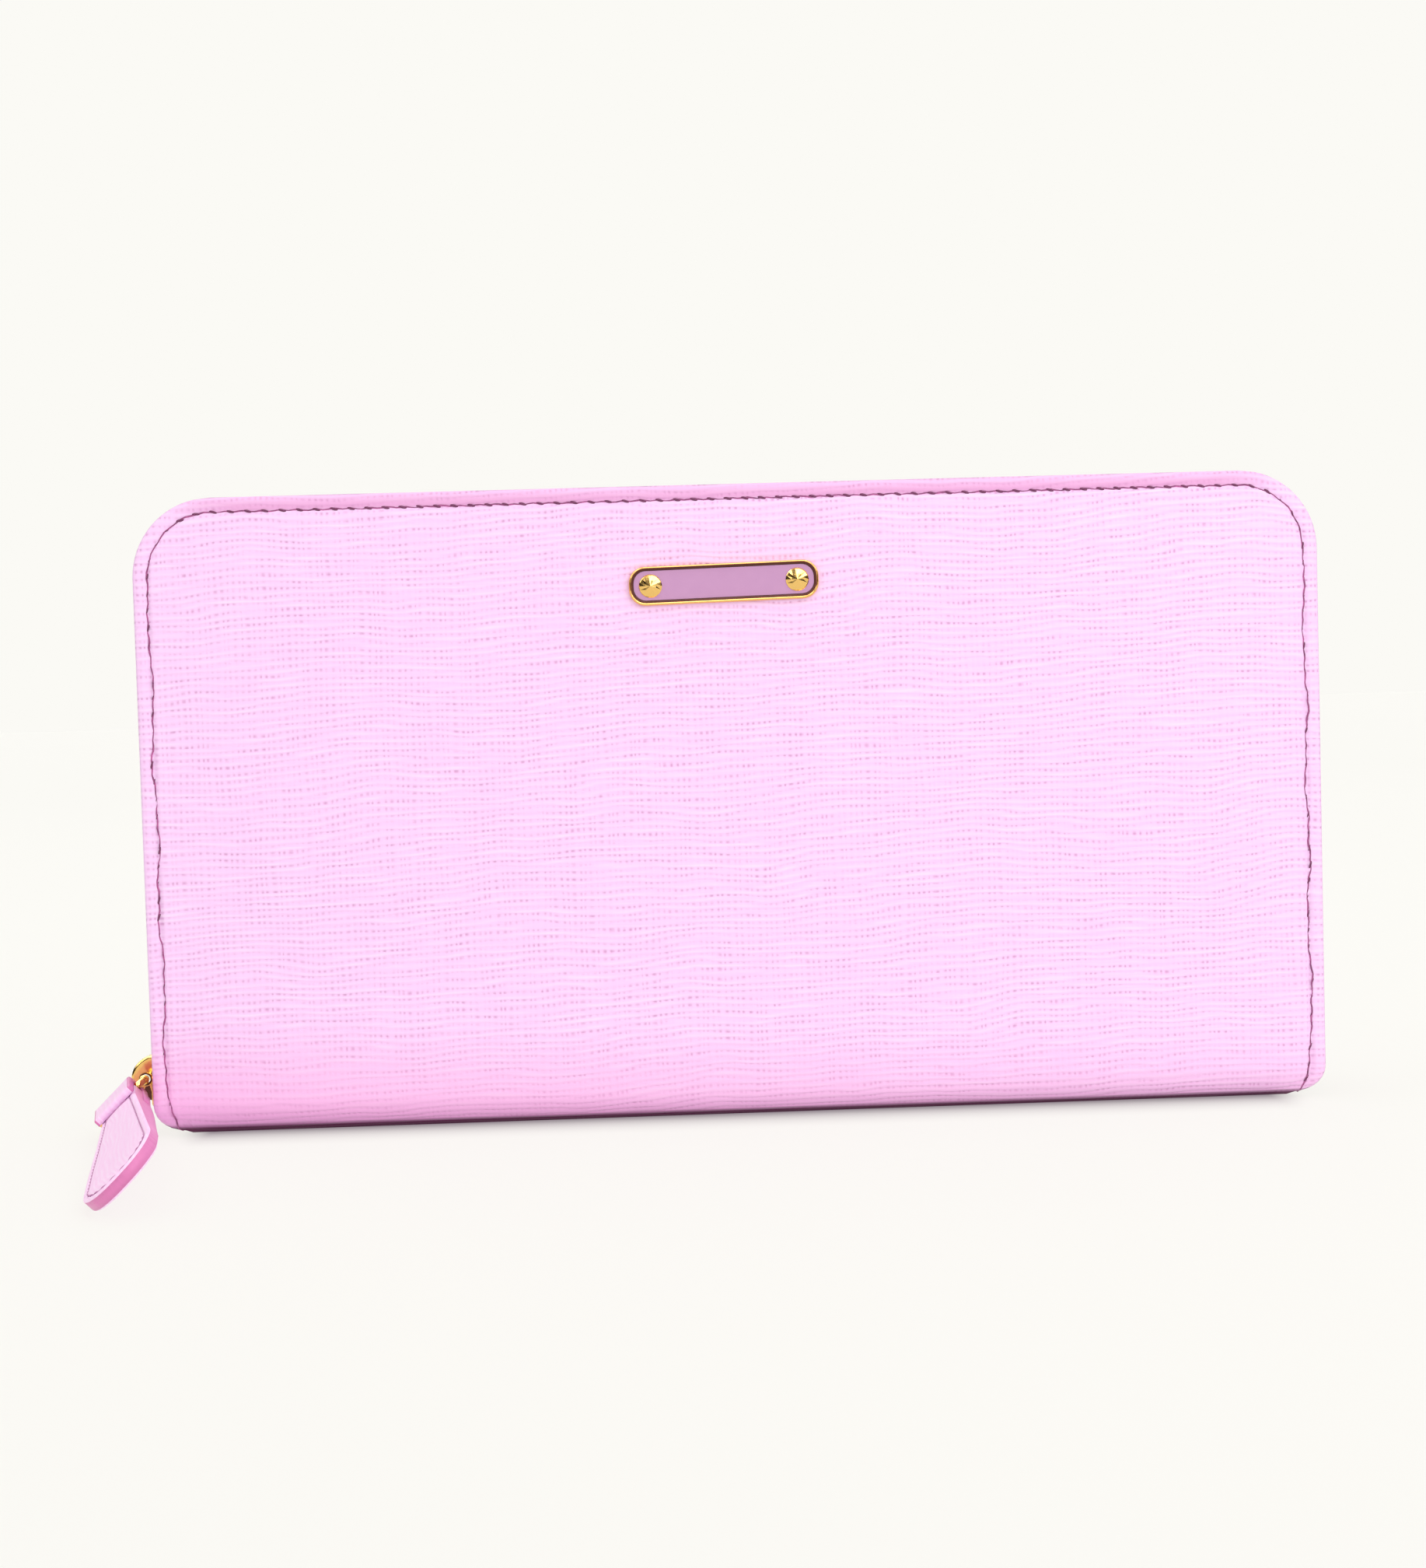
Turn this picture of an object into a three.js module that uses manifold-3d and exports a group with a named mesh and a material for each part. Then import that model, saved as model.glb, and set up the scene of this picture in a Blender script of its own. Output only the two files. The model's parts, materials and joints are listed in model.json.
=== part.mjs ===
// A zip around wallet standing on its spine, in millimetres.
// +X runs along the width, -Y is the front and +Z is up.
// The origin is the middle of the spine's flat base.
import * as THREE from "three";
import { mergeVertices } from "three/addons/utils/BufferGeometryUtils.js";
import Module from "manifold-3d";

const wasm = await Module();
wasm.setup();

// ---- driving dimensions ----
const WIDTH = 195;
const HEIGHT = 105;
const DEPTH = 24;
const TOP_RADIUS = 13;
const BASE_RADIUS = 5.5;
const SPINE_RADIUS = 6;
const SPINE_TOP = 6.4;
const COVER_BASE = 7.1;
const LEATHER = 1.1;
const BOARD = 0.6;
const LINING = 0.4;
const LAYER_GAP = 0.15;
const GAP = 0.3;
const LAP = 0.05;
const SPINE_BOARD_HALF_LENGTH = 88;
const SPINE_BOARD_HALF_WIDTH = 5.2;
const SPINE_BOARD = 0.5;
const SPINE_LINING_RADIUS = 4.2;
const SPINE_LINING_INSET = 3;
const SPINE_LINING_LIFT = 1;
const COVER_BOARD_INSET = 2.6;
const COVER_LINING_INSET = 2.4;

// card tiers, counted from the cover's lining towards the middle
const TIER_COUNT = 4;
const TIER_THICKNESS = 0.45;
const TIER_HALF_WIDTH = 86;
const TIER_BASE = 12;
const TIER_FIRST_TOP = 78;
const TIER_STEP = 10;
const TIER_RADIUS = 2;

// the zip that runs round three sides
const TAPE_INSET = 1.25;
const TAPE_THICKNESS = 0.5;
const TAPE_INNER_Y = 3;
const TAPE_BASE = 8;
const CHAIN_INSET = 0.8;
const CHAIN_THICKNESS = 1.4;
const CHAIN_NEAR_Y = 0.8;
const CHAIN_FAR_Y = 2.7;
const CHAIN_LEFT_BASE = 15.5;
const CHAIN_RIGHT_BASE = 16;
const STOP_HEIGHT = 2.4;
const STOP_LIP = 0.2;

// the zip slider, parked at the lower left
const SLIDER_Z = 8.3;
const SLIDER_LENGTH = 9.4;
const SLIDER_HALF_WIDTH = 4.2;
const SLIDER_PLATE = 0.9;
const SLIDER_CAVITY = 4.6;
const SLIDER_TAPE_SLOT = 2.2;
const SLIDER_FLANGE = 0.8;
const DIVIDER_LENGTH = 3.2;
const DIVIDER_HALF_WIDTH = 0.5;
const LUG_HALF_LENGTH = 4;
const LUG_HALF_WIDTH = 0.8;
const LUG_RISE = 4.1;
const EYE_RADIUS = 1.05;
const EYE_STANDOFF = 1.6;

// the loop on the slider and the leather pull
const LOOP_ROLL = Math.PI / 4;
const LOOP_YAW = 0.144;
const LOOP_WIDTH = 9.6;
const LOOP_LENGTH = 10.2;
const LOOP_BACK = 2;
const LOOP_WIRE = 1.2;
const LOOP_RADIUS = 1.2;
const LOOP_STEPS = 48;
const LOOP_SIDES = 8;
const PULL_START = 1.75;
const PULL_FLARE_END = 56;
const PULL_ARCH = 9.6;
const PULL_ARCH_FULLNESS = 0.8;
const PULL_ARCH_STEPS = 12;
const PULL_HALF_WIDTH = 6.8;
const PULL_HEAD_HALF_WIDTH = 3.8;
const PULL_LAYER = 0.8;
const PULL_CORE = 0.4;
const PULL_CORE_INSET = 0.3;
const PULL_DIP = 0.143;
const HEADER_LENGTH = 10;
const HEADER_HALF_WIDTH = 4.1;
const HEADER_LEATHER = 1.1;
const HEADER_NECK = 0.6;

// the zipped coin pocket in the middle
const COIN_HALF_WIDTH = 86;
const COIN_BASE = 2.5;
const COIN_TOP = 88;
const COIN_WALL = 0.6;
const COIN_WALL_BASE_RADIUS = 3;
const COIN_WALL_TOP_RADIUS = 1;
const COIN_EDGE_DROP = 4;
const COIN_TAPE = 0.35;
const COIN_TAPE_BASE = 80;
const COIN_TAPE_EDGE = 1.15;
const COIN_TAPE_TAIL = 3;
const COIN_HALF_GAP = 2.25;
const COIN_ZIP_Z = 89.85;
const COIN_ZIP_HALF_LENGTH = 80;
const COIN_CHAIN_HEIGHT = 1.3;
const COIN_CHAIN_NEAR_Y = 0.25;
const COIN_CHAIN_FAR_Y = 0.9;
const COIN_SLIDER_X = -70;
const COIN_SLIDER_LENGTH = 7;
const COIN_SLIDER_PLATE = 0.8;
const COIN_SLIDER_HALF_WIDTH = 2.2;
const COIN_UNDER_HALF_WIDTH = 1.5;
const COIN_DIVIDER_LENGTH = 2;
const COIN_DIVIDER_HALF_WIDTH = 0.15;
const COIN_ARCH_HALF_WIDTH = 0.6;
const COIN_ARCH_OUTER = [[-2.4, 0.75], [2.4, 0.75], [2.4, 1.6], [1.6, 2.8], [-1.6, 2.8], [-2.4, 1.6]];
const COIN_ARCH_INNER = [[-1.5, 0.9], [1.5, 0.9], [1.5, 1.5], [1, 2.1], [-1, 2.1], [-1.5, 1.5]];
const COIN_PULL_LENGTH = 18;
const COIN_PULL_HALF_WIDTH = 1.9;
const COIN_PULL_THICKNESS = 0.7;
const COIN_PULL_LIFT = 1.5;
const COIN_PULL_SETBACK = 0.35;
const COIN_EYE_START = 0.8;
const COIN_EYE_END = 4.2;
const COIN_EYE_HALF_WIDTH = 1;

// the accordion gussets between the covers and the coin pocket
const GUSSET_OUTER_X = 91;
const GUSSET_FOLD_X = 76;
const GUSSET_BASE = 10;
const GUSSET_TOP = 80;
const GUSSET_FOLD_TOP = 70;
const GUSSET_THICKNESS = 0.4;
const GUSSET_COVER_Y = 6.95;
const GUSSET_COIN_Y = 3.4;

// the plaque on the front
const BADGE_X = -1.1;
const BADGE_Z = 88.8;
const BADGE_LENGTH = 31.2;
const BADGE_HEIGHT = 6.4;
const BADGE_RADIUS = 2.2;
const BADGE_ARC_STEPS = 3;
const BADGE_RIM = 0.75;
const BADGE_DEPTH = 1.1;
const INLAY_DEPTH = 0.55;
const STUD_X = 12.05;
const STUD_RADIUS = 1.9;
const STUD_TIP_RADIUS = 0.3;
const STUD_HEIGHT = 0.7;
const STUD_FACETS = 16;

const ARC_STEPS = 8;
const HALF_WIDTH = WIDTH / 2;
const HALF_DEPTH = DEPTH / 2;

// ---- materials ----
const metal = (color) => new THREE.MeshStandardMaterial({ color, roughness: 0.25, metalness: 1 });
const soft = (color, roughness) => new THREE.MeshStandardMaterial({ color, roughness, metalness: 0 });
const leather = () => soft(0xf2c4ee, 0.5);
const darkLeather = () => soft(0xd98cc0, 0.5);
const lining = () => soft(0xe2b4d4, 0.85);
const fabric = () => soft(0xe9b9dc, 0.9);
const cardboard = () => soft(0xb9a58c, 0.9);
const enamel = () => soft(0xdfabd9, 0.3);
const gold = () => metal(0xe8c873);

// ---- geometry helpers ----
const X_AXIS = new THREE.Vector3(1, 0, 0);
const Y_AXIS = new THREE.Vector3(0, 1, 0);
const Z_AXIS = new THREE.Vector3(0, 0, 1);

function extruded(shape, depth) {
  return new THREE.ExtrudeGeometry(shape, { depth, bevelEnabled: false, curveSegments: ARC_STEPS });
}

// A shape drawn in X and Z, with its thickness from y0 to y1.
function plateXZ(shape, y0, y1) {
  return extruded(shape, y1 - y0).rotateX(Math.PI / 2).translate(0, y1, 0);
}

// A shape drawn in Y and Z, with its length from x0 to x1.
function prismX(shape, x0, x1) {
  const turn = new THREE.Matrix4().makeBasis(Y_AXIS, Z_AXIS, X_AXIS);
  return extruded(shape, x1 - x0).applyMatrix4(turn).translate(x0, 0, 0);
}

function boxBetween(low, high) {
  const size = high.map((v, i) => v - low[i]);
  const centre = high.map((v, i) => (v + low[i]) / 2);
  return new THREE.BoxGeometry(...size).translate(...centre);
}

function polygon(points) {
  return new THREE.Shape(points.map(([a, b]) => new THREE.Vector2(a, b)));
}

// A rectangle with one radius on its lower corners and another on its upper ones.
function roundedRect(halfWidth, low, high, lowRadius, highRadius) {
  const shape = new THREE.Shape();
  shape.moveTo(-halfWidth + lowRadius, low);
  shape.lineTo(halfWidth - lowRadius, low);
  if (lowRadius > 0) shape.absarc(halfWidth - lowRadius, low + lowRadius, lowRadius, -Math.PI / 2, 0);
  shape.lineTo(halfWidth, high - highRadius);
  if (highRadius > 0) {
    shape.absarc(halfWidth - highRadius, high - highRadius, highRadius, 0, Math.PI / 2);
    shape.lineTo(-halfWidth + highRadius, high);
    shape.absarc(-halfWidth + highRadius, high - highRadius, highRadius, Math.PI / 2, Math.PI);
  } else {
    shape.lineTo(-halfWidth, high);
  }
  shape.lineTo(-halfWidth, low + lowRadius);
  if (lowRadius > 0) {
    shape.absarc(-halfWidth + lowRadius, low + lowRadius, lowRadius, Math.PI, 1.5 * Math.PI);
  }
  return shape;
}

// The cover's outline drawn in by an inset, from a given height up.
function coverOutline(inset, base) {
  return roundedRect(HALF_WIDTH - inset, base, HEIGHT - inset, 0, TOP_RADIUS - inset);
}

// The strip between two insets of the outline, open at the bottom.
function bandOutline(outerInset, innerInset, leftBase, rightBase) {
  const shape = new THREE.Shape();
  const centreX = HALF_WIDTH - TOP_RADIUS;
  const centreZ = HEIGHT - TOP_RADIUS;
  const outer = HALF_WIDTH - outerInset;
  const inner = HALF_WIDTH - innerInset;
  shape.moveTo(inner, rightBase);
  shape.lineTo(outer, rightBase);
  shape.lineTo(outer, centreZ);
  shape.absarc(centreX, centreZ, TOP_RADIUS - outerInset, 0, Math.PI / 2);
  shape.lineTo(-centreX, HEIGHT - outerInset);
  shape.absarc(-centreX, centreZ, TOP_RADIUS - outerInset, Math.PI / 2, Math.PI);
  shape.lineTo(-outer, leftBase);
  shape.lineTo(-inner, leftBase);
  shape.lineTo(-inner, centreZ);
  shape.absarc(-centreX, centreZ, TOP_RADIUS - innerInset, Math.PI, Math.PI / 2, true);
  shape.lineTo(centreX, HEIGHT - innerInset);
  shape.absarc(centreX, centreZ, TOP_RADIUS - innerInset, Math.PI / 2, 0, true);
  return shape;
}

function toSolid(geometry) {
  const bare = geometry.clone();
  bare.deleteAttribute("normal");
  bare.deleteAttribute("uv");
  const merged = mergeVertices(bare, 1e-4);
  return new wasm.Manifold(
    new wasm.Mesh({
      numProp: 3,
      vertProperties: new Float32Array(merged.attributes.position.array),
      triVerts: new Uint32Array(merged.index.array),
    }),
  );
}

function toGeometry(solid) {
  const mesh = solid.getMesh();
  const geometry = new THREE.BufferGeometry();
  geometry.setAttribute("position", new THREE.BufferAttribute(new Float32Array(mesh.vertProperties), 3));
  geometry.setIndex(new THREE.BufferAttribute(new Uint32Array(mesh.triVerts), 1));
  geometry.computeVertexNormals();
  return geometry;
}

function joined(...geometries) {
  return toGeometry(geometries.map(toSolid).reduce((sum, solid) => sum.add(solid)));
}

function common(first, second) {
  return toGeometry(toSolid(first).intersect(toSolid(second)));
}

function named(name, geometry, material) {
  const mesh = new THREE.Mesh(geometry, material);
  mesh.name = name;
  return mesh;
}

// ---- spine ----
// A trough with a flat bottom and quarter-round sides, opening upwards.
function troughOutline(halfWidth, base, radius, thickness) {
  const shape = new THREE.Shape();
  const centre = halfWidth - radius;
  const innerRadius = radius - thickness;
  shape.moveTo(-centre, base);
  shape.lineTo(centre, base);
  shape.absarc(centre, base + radius, radius, -Math.PI / 2, 0);
  shape.lineTo(halfWidth, SPINE_TOP);
  shape.lineTo(halfWidth - thickness, SPINE_TOP);
  shape.absarc(centre, base + radius, innerRadius, 0, -Math.PI / 2, true);
  shape.lineTo(-centre, base + thickness);
  shape.absarc(-centre, base + radius, innerRadius, -Math.PI / 2, -Math.PI, true);
  shape.lineTo(-halfWidth + thickness, SPINE_TOP);
  shape.lineTo(-halfWidth, SPINE_TOP);
  shape.absarc(-centre, base + radius, radius, Math.PI, 1.5 * Math.PI);
  return shape;
}

function spineStrip(halfWidth, base, radius, thickness, inset) {
  const trough = prismX(troughOutline(halfWidth, base, radius, thickness), -HALF_WIDTH, HALF_WIDTH);
  const low = inset > 0 ? SPINE_LINING_LIFT : 0;
  const outline = roundedRect(HALF_WIDTH - inset, low, HEIGHT, BASE_RADIUS, TOP_RADIUS);
  return common(trough, plateXZ(outline, -DEPTH, DEPTH));
}

function spine() {
  const group = new THREE.Group();
  const boardBase = LEATHER + LAYER_GAP;
  const boardTop = boardBase + SPINE_BOARD;
  const boardLow = [-SPINE_BOARD_HALF_LENGTH, -SPINE_BOARD_HALF_WIDTH, boardBase];
  const board = boxBetween(boardLow, [SPINE_BOARD_HALF_LENGTH, SPINE_BOARD_HALF_WIDTH, boardTop]);
  const liningHalf = HALF_DEPTH - LEATHER - LAYER_GAP - LAP;
  const liningBase = boardTop + LAYER_GAP;
  const inside = spineStrip(liningHalf, liningBase, SPINE_LINING_RADIUS, LINING, SPINE_LINING_INSET);
  group.add(named("spine_leather", spineStrip(HALF_DEPTH, 0, SPINE_RADIUS, LEATHER, 0), leather()));
  group.add(named("spine_board", board, cardboard()));
  group.add(named("spine_lining", inside, lining()));
  return group;
}

// ---- covers ----
// Each cover is made for the front and turned half round Z for the back.
function coverPlates(side) {
  const group = new THREE.Group();
  const skinInner = HALF_DEPTH - LEATHER;
  const boardOuter = skinInner - LAYER_GAP;
  const liningOuter = boardOuter - BOARD - LAYER_GAP;
  const skin = plateXZ(coverOutline(0, COVER_BASE), -HALF_DEPTH, -skinInner);
  const boardOutline = coverOutline(COVER_BOARD_INSET, COVER_BASE + GAP);
  const liningOutline = coverOutline(COVER_LINING_INSET, COVER_BASE + GAP);
  const board = plateXZ(boardOutline, -boardOuter, -(boardOuter - BOARD));
  const inside = plateXZ(liningOutline, -liningOuter, -(liningOuter - LINING));
  group.add(named(side + "_leather", skin, leather()));
  group.add(named(side + "_board", board, cardboard()));
  group.add(named(side + "_lining", inside, lining()));
  return group;
}

function cardTiers(side) {
  const group = new THREE.Group();
  const first = HALF_DEPTH - LEATHER - BOARD - LINING - 3 * LAYER_GAP;
  for (let tier = 0; tier < TIER_COUNT; tier += 1) {
    const outer = first - tier * (TIER_THICKNESS + LAYER_GAP);
    const top = TIER_FIRST_TOP - tier * TIER_STEP;
    const outline = roundedRect(TIER_HALF_WIDTH, TIER_BASE, top, TIER_RADIUS, TIER_RADIUS);
    const plate = plateXZ(outline, -outer, -(outer - TIER_THICKNESS));
    group.add(named(side + "_card_tier_" + (tier + 1), plate, leather()));
  }
  return group;
}

function zipHalf(side, leftBase, rightBase) {
  const group = new THREE.Group();
  const tapeEdge = HALF_DEPTH - LEATHER - GAP;
  const tape = bandOutline(TAPE_INSET, TAPE_INSET + TAPE_THICKNESS, TAPE_BASE, TAPE_BASE);
  const chain = bandOutline(CHAIN_INSET, CHAIN_INSET + CHAIN_THICKNESS, leftBase, rightBase);
  group.add(named(side + "_zip_tape", plateXZ(tape, -tapeEdge, -TAPE_INNER_Y), fabric()));
  group.add(named(side + "_zip_chain", plateXZ(chain, -CHAIN_FAR_Y, -CHAIN_NEAR_Y), gold()));
  return group;
}

// The metal stop at the lower right end of a chain half; sign is -1 at the front and 1 at the back.
function zipStop(side, sign) {
  const near = sign * (CHAIN_NEAR_Y - STOP_LIP / 2);
  const far = sign * (CHAIN_FAR_Y + STOP_LIP);
  const outer = HALF_WIDTH - CHAIN_INSET + STOP_LIP;
  const top = CHAIN_RIGHT_BASE - GAP;
  const low = [outer - CHAIN_THICKNESS - 2 * STOP_LIP, Math.min(near, far), top - STOP_HEIGHT];
  const geometry = boxBetween(low, [outer, Math.max(near, far), top]);
  return named(side + "_zip_stop", geometry, gold());
}

function cover(side, leftBase, rightBase) {
  const group = new THREE.Group();
  group.add(coverPlates(side), cardTiers(side), zipHalf(side, leftBase, rightBase));
  return group;
}

// ---- plaque ----
function badgeOutline(inset) {
  const low = BADGE_Z - BADGE_HEIGHT / 2 + inset;
  const high = BADGE_Z + BADGE_HEIGHT / 2 - inset;
  const radius = BADGE_RADIUS - inset;
  const outline = roundedRect(BADGE_LENGTH / 2 - inset, low, high, radius, radius).getPoints(BADGE_ARC_STEPS);
  return outline.map((point) => point.setX(point.x + BADGE_X));
}

function badge() {
  const group = new THREE.Group();
  const back = -HALF_DEPTH - LAYER_GAP;
  const rim = new THREE.Shape(badgeOutline(0));
  rim.holes.push(new THREE.Path(badgeOutline(BADGE_RIM)));
  const inlayFront = back - INLAY_DEPTH;
  const inlay = plateXZ(new THREE.Shape(badgeOutline(BADGE_RIM + LAYER_GAP)), inlayFront, back);
  group.add(named("badge_frame", plateXZ(rim, back - BADGE_DEPTH, back), gold()));
  group.add(named("badge_inlay", inlay, enamel()));
  for (const [name, side] of [["badge_stud_left", -1], ["badge_stud_right", 1]]) {
    const stud = new THREE.CylinderGeometry(STUD_RADIUS, STUD_TIP_RADIUS, STUD_HEIGHT, STUD_FACETS);
    stud.translate(BADGE_X + side * STUD_X, inlayFront - LAYER_GAP - STUD_HEIGHT / 2, BADGE_Z);
    group.add(named(name, stud, gold()));
  }
  return group;
}

// ---- slider ----
// The slider's outer face, which the lug stands on.
const SLIDER_OUTER_X = -HALF_WIDTH + CHAIN_INSET + (CHAIN_THICKNESS - SLIDER_CAVITY) / 2 - SLIDER_PLATE;

function sliderBody() {
  const low = SLIDER_Z - SLIDER_LENGTH / 2;
  const high = SLIDER_Z + SLIDER_LENGTH / 2;
  const outerFace = SLIDER_OUTER_X + SLIDER_PLATE;
  const innerFace = outerFace + SLIDER_CAVITY;
  const lips = (SLIDER_CAVITY - SLIDER_TAPE_SLOT) / 2;
  const w = SLIDER_HALF_WIDTH;
  const dividerLow = [outerFace - LAP, -DIVIDER_HALF_WIDTH, high - DIVIDER_LENGTH];
  const pieces = [
    boxBetween([SLIDER_OUTER_X, -w, low], [outerFace, w, high]),
    boxBetween([innerFace, -w, low], [innerFace + SLIDER_PLATE, w, high]),
    boxBetween(dividerLow, [innerFace + LAP, DIVIDER_HALF_WIDTH, high]),
    sliderLug(SLIDER_OUTER_X + LAP),
  ];
  for (const y of [-w, w - SLIDER_FLANGE]) {
    pieces.push(boxBetween([outerFace - LAP, y, low], [outerFace + lips, y + SLIDER_FLANGE, high]));
    pieces.push(boxBetween([innerFace - lips, y, low], [innerFace + LAP, y + SLIDER_FLANGE, high]));
  }
  return joined(...pieces);
}

// The domed lug on the slider's outer plate, pierced by the eye that the loop passes through.
function sliderLug(x) {
  const lug = new THREE.Shape();
  lug.moveTo(x, SLIDER_Z + LUG_HALF_LENGTH);
  lug.absellipse(x, SLIDER_Z, LUG_RISE, LUG_HALF_LENGTH, Math.PI / 2, 1.5 * Math.PI);
  const eye = new THREE.Path();
  eye.absarc(SLIDER_OUTER_X - EYE_STANDOFF, SLIDER_Z, EYE_RADIUS, 0, 2 * Math.PI);
  lug.holes.push(eye);
  return plateXZ(lug, -LUG_HALF_WIDTH, LUG_HALF_WIDTH);
}

// ---- loop and pull ----
// The loop is a rounded rectangle of wire drawn in its own X (across) and Y (towards the pull).
function loopGeometry() {
  const path = new THREE.CurvePath();
  const back = -LOOP_BACK;
  const front = LOOP_LENGTH - LOOP_BACK;
  const corners = [[0, back], [LOOP_WIDTH, back], [LOOP_WIDTH, front], [0, front]];
  const at = (x, y) => new THREE.Vector3(x, y, 0);
  corners.forEach(([x, y], i) => {
    const [nextX, nextY] = corners[(i + 1) % 4];
    const [afterX, afterY] = corners[(i + 2) % 4];
    const step = at(Math.sign(nextX - x), Math.sign(nextY - y)).multiplyScalar(LOOP_RADIUS);
    const turn = at(Math.sign(afterX - nextX), Math.sign(afterY - nextY)).multiplyScalar(LOOP_RADIUS);
    const start = at(x, y).add(step);
    const stop = at(nextX, nextY).sub(step);
    path.add(new THREE.LineCurve3(start, stop));
    path.add(new THREE.QuadraticBezierCurve3(stop, at(nextX, nextY), at(nextX, nextY).add(turn)));
  });
  return ringAlong(path, LOOP_WIRE / 2, LOOP_STEPS, LOOP_SIDES);
}

// A closed tube round a closed path that lies in the XY plane.
function ringAlong(path, radius, steps, sides) {
  const positions = [];
  const index = [];
  for (let i = 0; i < steps; i += 1) {
    const centre = path.getPointAt(i / steps);
    const tangent = path.getTangentAt(i / steps);
    const across = new THREE.Vector3(tangent.y, -tangent.x, 0).normalize();
    for (let j = 0; j < sides; j += 1) {
      const angle = (2 * Math.PI * j) / sides;
      const point = centre.clone().addScaledVector(across, radius * Math.cos(angle));
      positions.push(point.x, point.y, point.z + radius * Math.sin(angle));
      const nextI = (i + 1) % steps;
      const nextJ = (j + 1) % sides;
      const [a, b, c, d] = [i * sides + j, nextI * sides + j, nextI * sides + nextJ, i * sides + nextJ];
      index.push(a, b, c, a, c, d);
    }
  }
  const geometry = new THREE.BufferGeometry();
  geometry.setAttribute("position", new THREE.Float32BufferAttribute(positions, 3));
  geometry.setIndex(index);
  return geometry;
}

// The pull's outline, drawn with X along its length and Y across: it flares, then ends in an arch.
function pullOutline(inset) {
  const head = PULL_HEAD_HALF_WIDTH - inset;
  const wide = PULL_HALF_WIDTH - inset;
  const arch = [];
  for (let i = -PULL_ARCH_STEPS; i <= PULL_ARCH_STEPS; i += 1) {
    const angle = (i / PULL_ARCH_STEPS) * (Math.PI / 2);
    const x = PULL_FLARE_END + (PULL_ARCH - inset) * Math.cos(angle);
    arch.push([x, Math.sign(i) * wide * Math.abs(Math.sin(angle)) ** PULL_ARCH_FULLNESS]);
  }
  const start = PULL_START;
  return polygon([[start, -head], [HEADER_LENGTH, -head], ...arch, [HEADER_LENGTH, head], [start, head]]);
}

// A strip folded round the loop's bar, drawn in the pull's X (length) and Z (thickness).
function headerOutline() {
  const inner = PULL_LAYER + PULL_CORE / 2 + LAYER_GAP;
  const outer = inner + HEADER_LEATHER;
  const shape = new THREE.Shape();
  shape.moveTo(HEADER_LENGTH, inner);
  shape.lineTo(HEADER_LENGTH, outer);
  shape.lineTo(0, outer);
  shape.absarc(0, 0, outer, Math.PI / 2, 1.5 * Math.PI);
  shape.lineTo(HEADER_LENGTH, -outer);
  shape.lineTo(HEADER_LENGTH, -inner);
  shape.lineTo(HEADER_NECK, -inner);
  shape.absarc(0, 0, LOOP_WIRE / 2 + GAP, -Math.PI / 3, Math.PI / 3, true);
  shape.lineTo(HEADER_NECK, inner);
  return shape;
}

function pull() {
  const group = new THREE.Group();
  const half = PULL_CORE / 2;
  const layers = [
    ["pull_face", half + LAYER_GAP, half + PULL_LAYER, 0, leather()],
    ["pull_core", -half, half, PULL_CORE_INSET, cardboard()],
    ["pull_back", -half - PULL_LAYER, -half - LAYER_GAP, 0, leather()],
  ];
  for (const [name, low, high, inset, material] of layers) {
    const plate = extruded(pullOutline(inset), high - low).translate(0, 0, low);
    group.add(named(name, plate, material));
  }
  const header = extruded(headerOutline(), 2 * HEADER_HALF_WIDTH).rotateX(Math.PI / 2);
  group.add(named("pull_header", header.translate(0, HEADER_HALF_WIDTH, 0), darkLeather()));
  return group;
}

function sliderAssembly() {
  const group = new THREE.Group();
  const pivot = new THREE.Vector3(SLIDER_OUTER_X - EYE_STANDOFF, 0, SLIDER_Z);
  const across = new THREE.Vector3(-Math.cos(LOOP_ROLL), 0, -Math.sin(LOOP_ROLL));
  const forward = new THREE.Vector3(0, -1, 0);
  const normal = across.clone().cross(forward);
  across.applyAxisAngle(normal, LOOP_YAW);
  forward.applyAxisAngle(normal, LOOP_YAW);
  const loop = named("pull_loop", loopGeometry(), gold());
  loop.applyMatrix4(new THREE.Matrix4().makeBasis(across, forward, normal).setPosition(pivot));
  const barMiddle = pivot.clone().addScaledVector(across, LOOP_WIDTH / 2);
  barMiddle.addScaledVector(forward, LOOP_LENGTH - LOOP_BACK);
  const along = forward.clone().applyAxisAngle(across, -PULL_DIP);
  const width = across.clone().negate();
  const face = along.clone().cross(width);
  const tab = pull();
  tab.applyMatrix4(new THREE.Matrix4().makeBasis(along, width, face).setPosition(barMiddle));
  group.add(named("slider_body", sliderBody(), gold()), loop, tab);
  return group;
}

// ---- coin pocket ----
function coinPocket() {
  const group = new THREE.Group();
  const wall = roundedRect(
    COIN_HALF_WIDTH, COIN_BASE, COIN_TOP, COIN_WALL_BASE_RADIUS, COIN_WALL_TOP_RADIUS,
  );
  for (const [side, sign] of [["front", -1], ["back", 1]]) {
    const near = sign * COIN_HALF_GAP;
    const far = sign * (COIN_HALF_GAP + COIN_WALL);
    const plate = plateXZ(wall, Math.min(near, far), Math.max(near, far));
    group.add(named("coin_" + side + "_wall", plate, lining()));
    group.add(named("coin_" + side + "_tape", coinTape(sign), fabric()));
    group.add(named("coin_" + side + "_chain", coinChain(sign), gold()));
  }
  group.add(named("coin_edge_strip", coinEdge(), lining()));
  return group;
}

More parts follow.
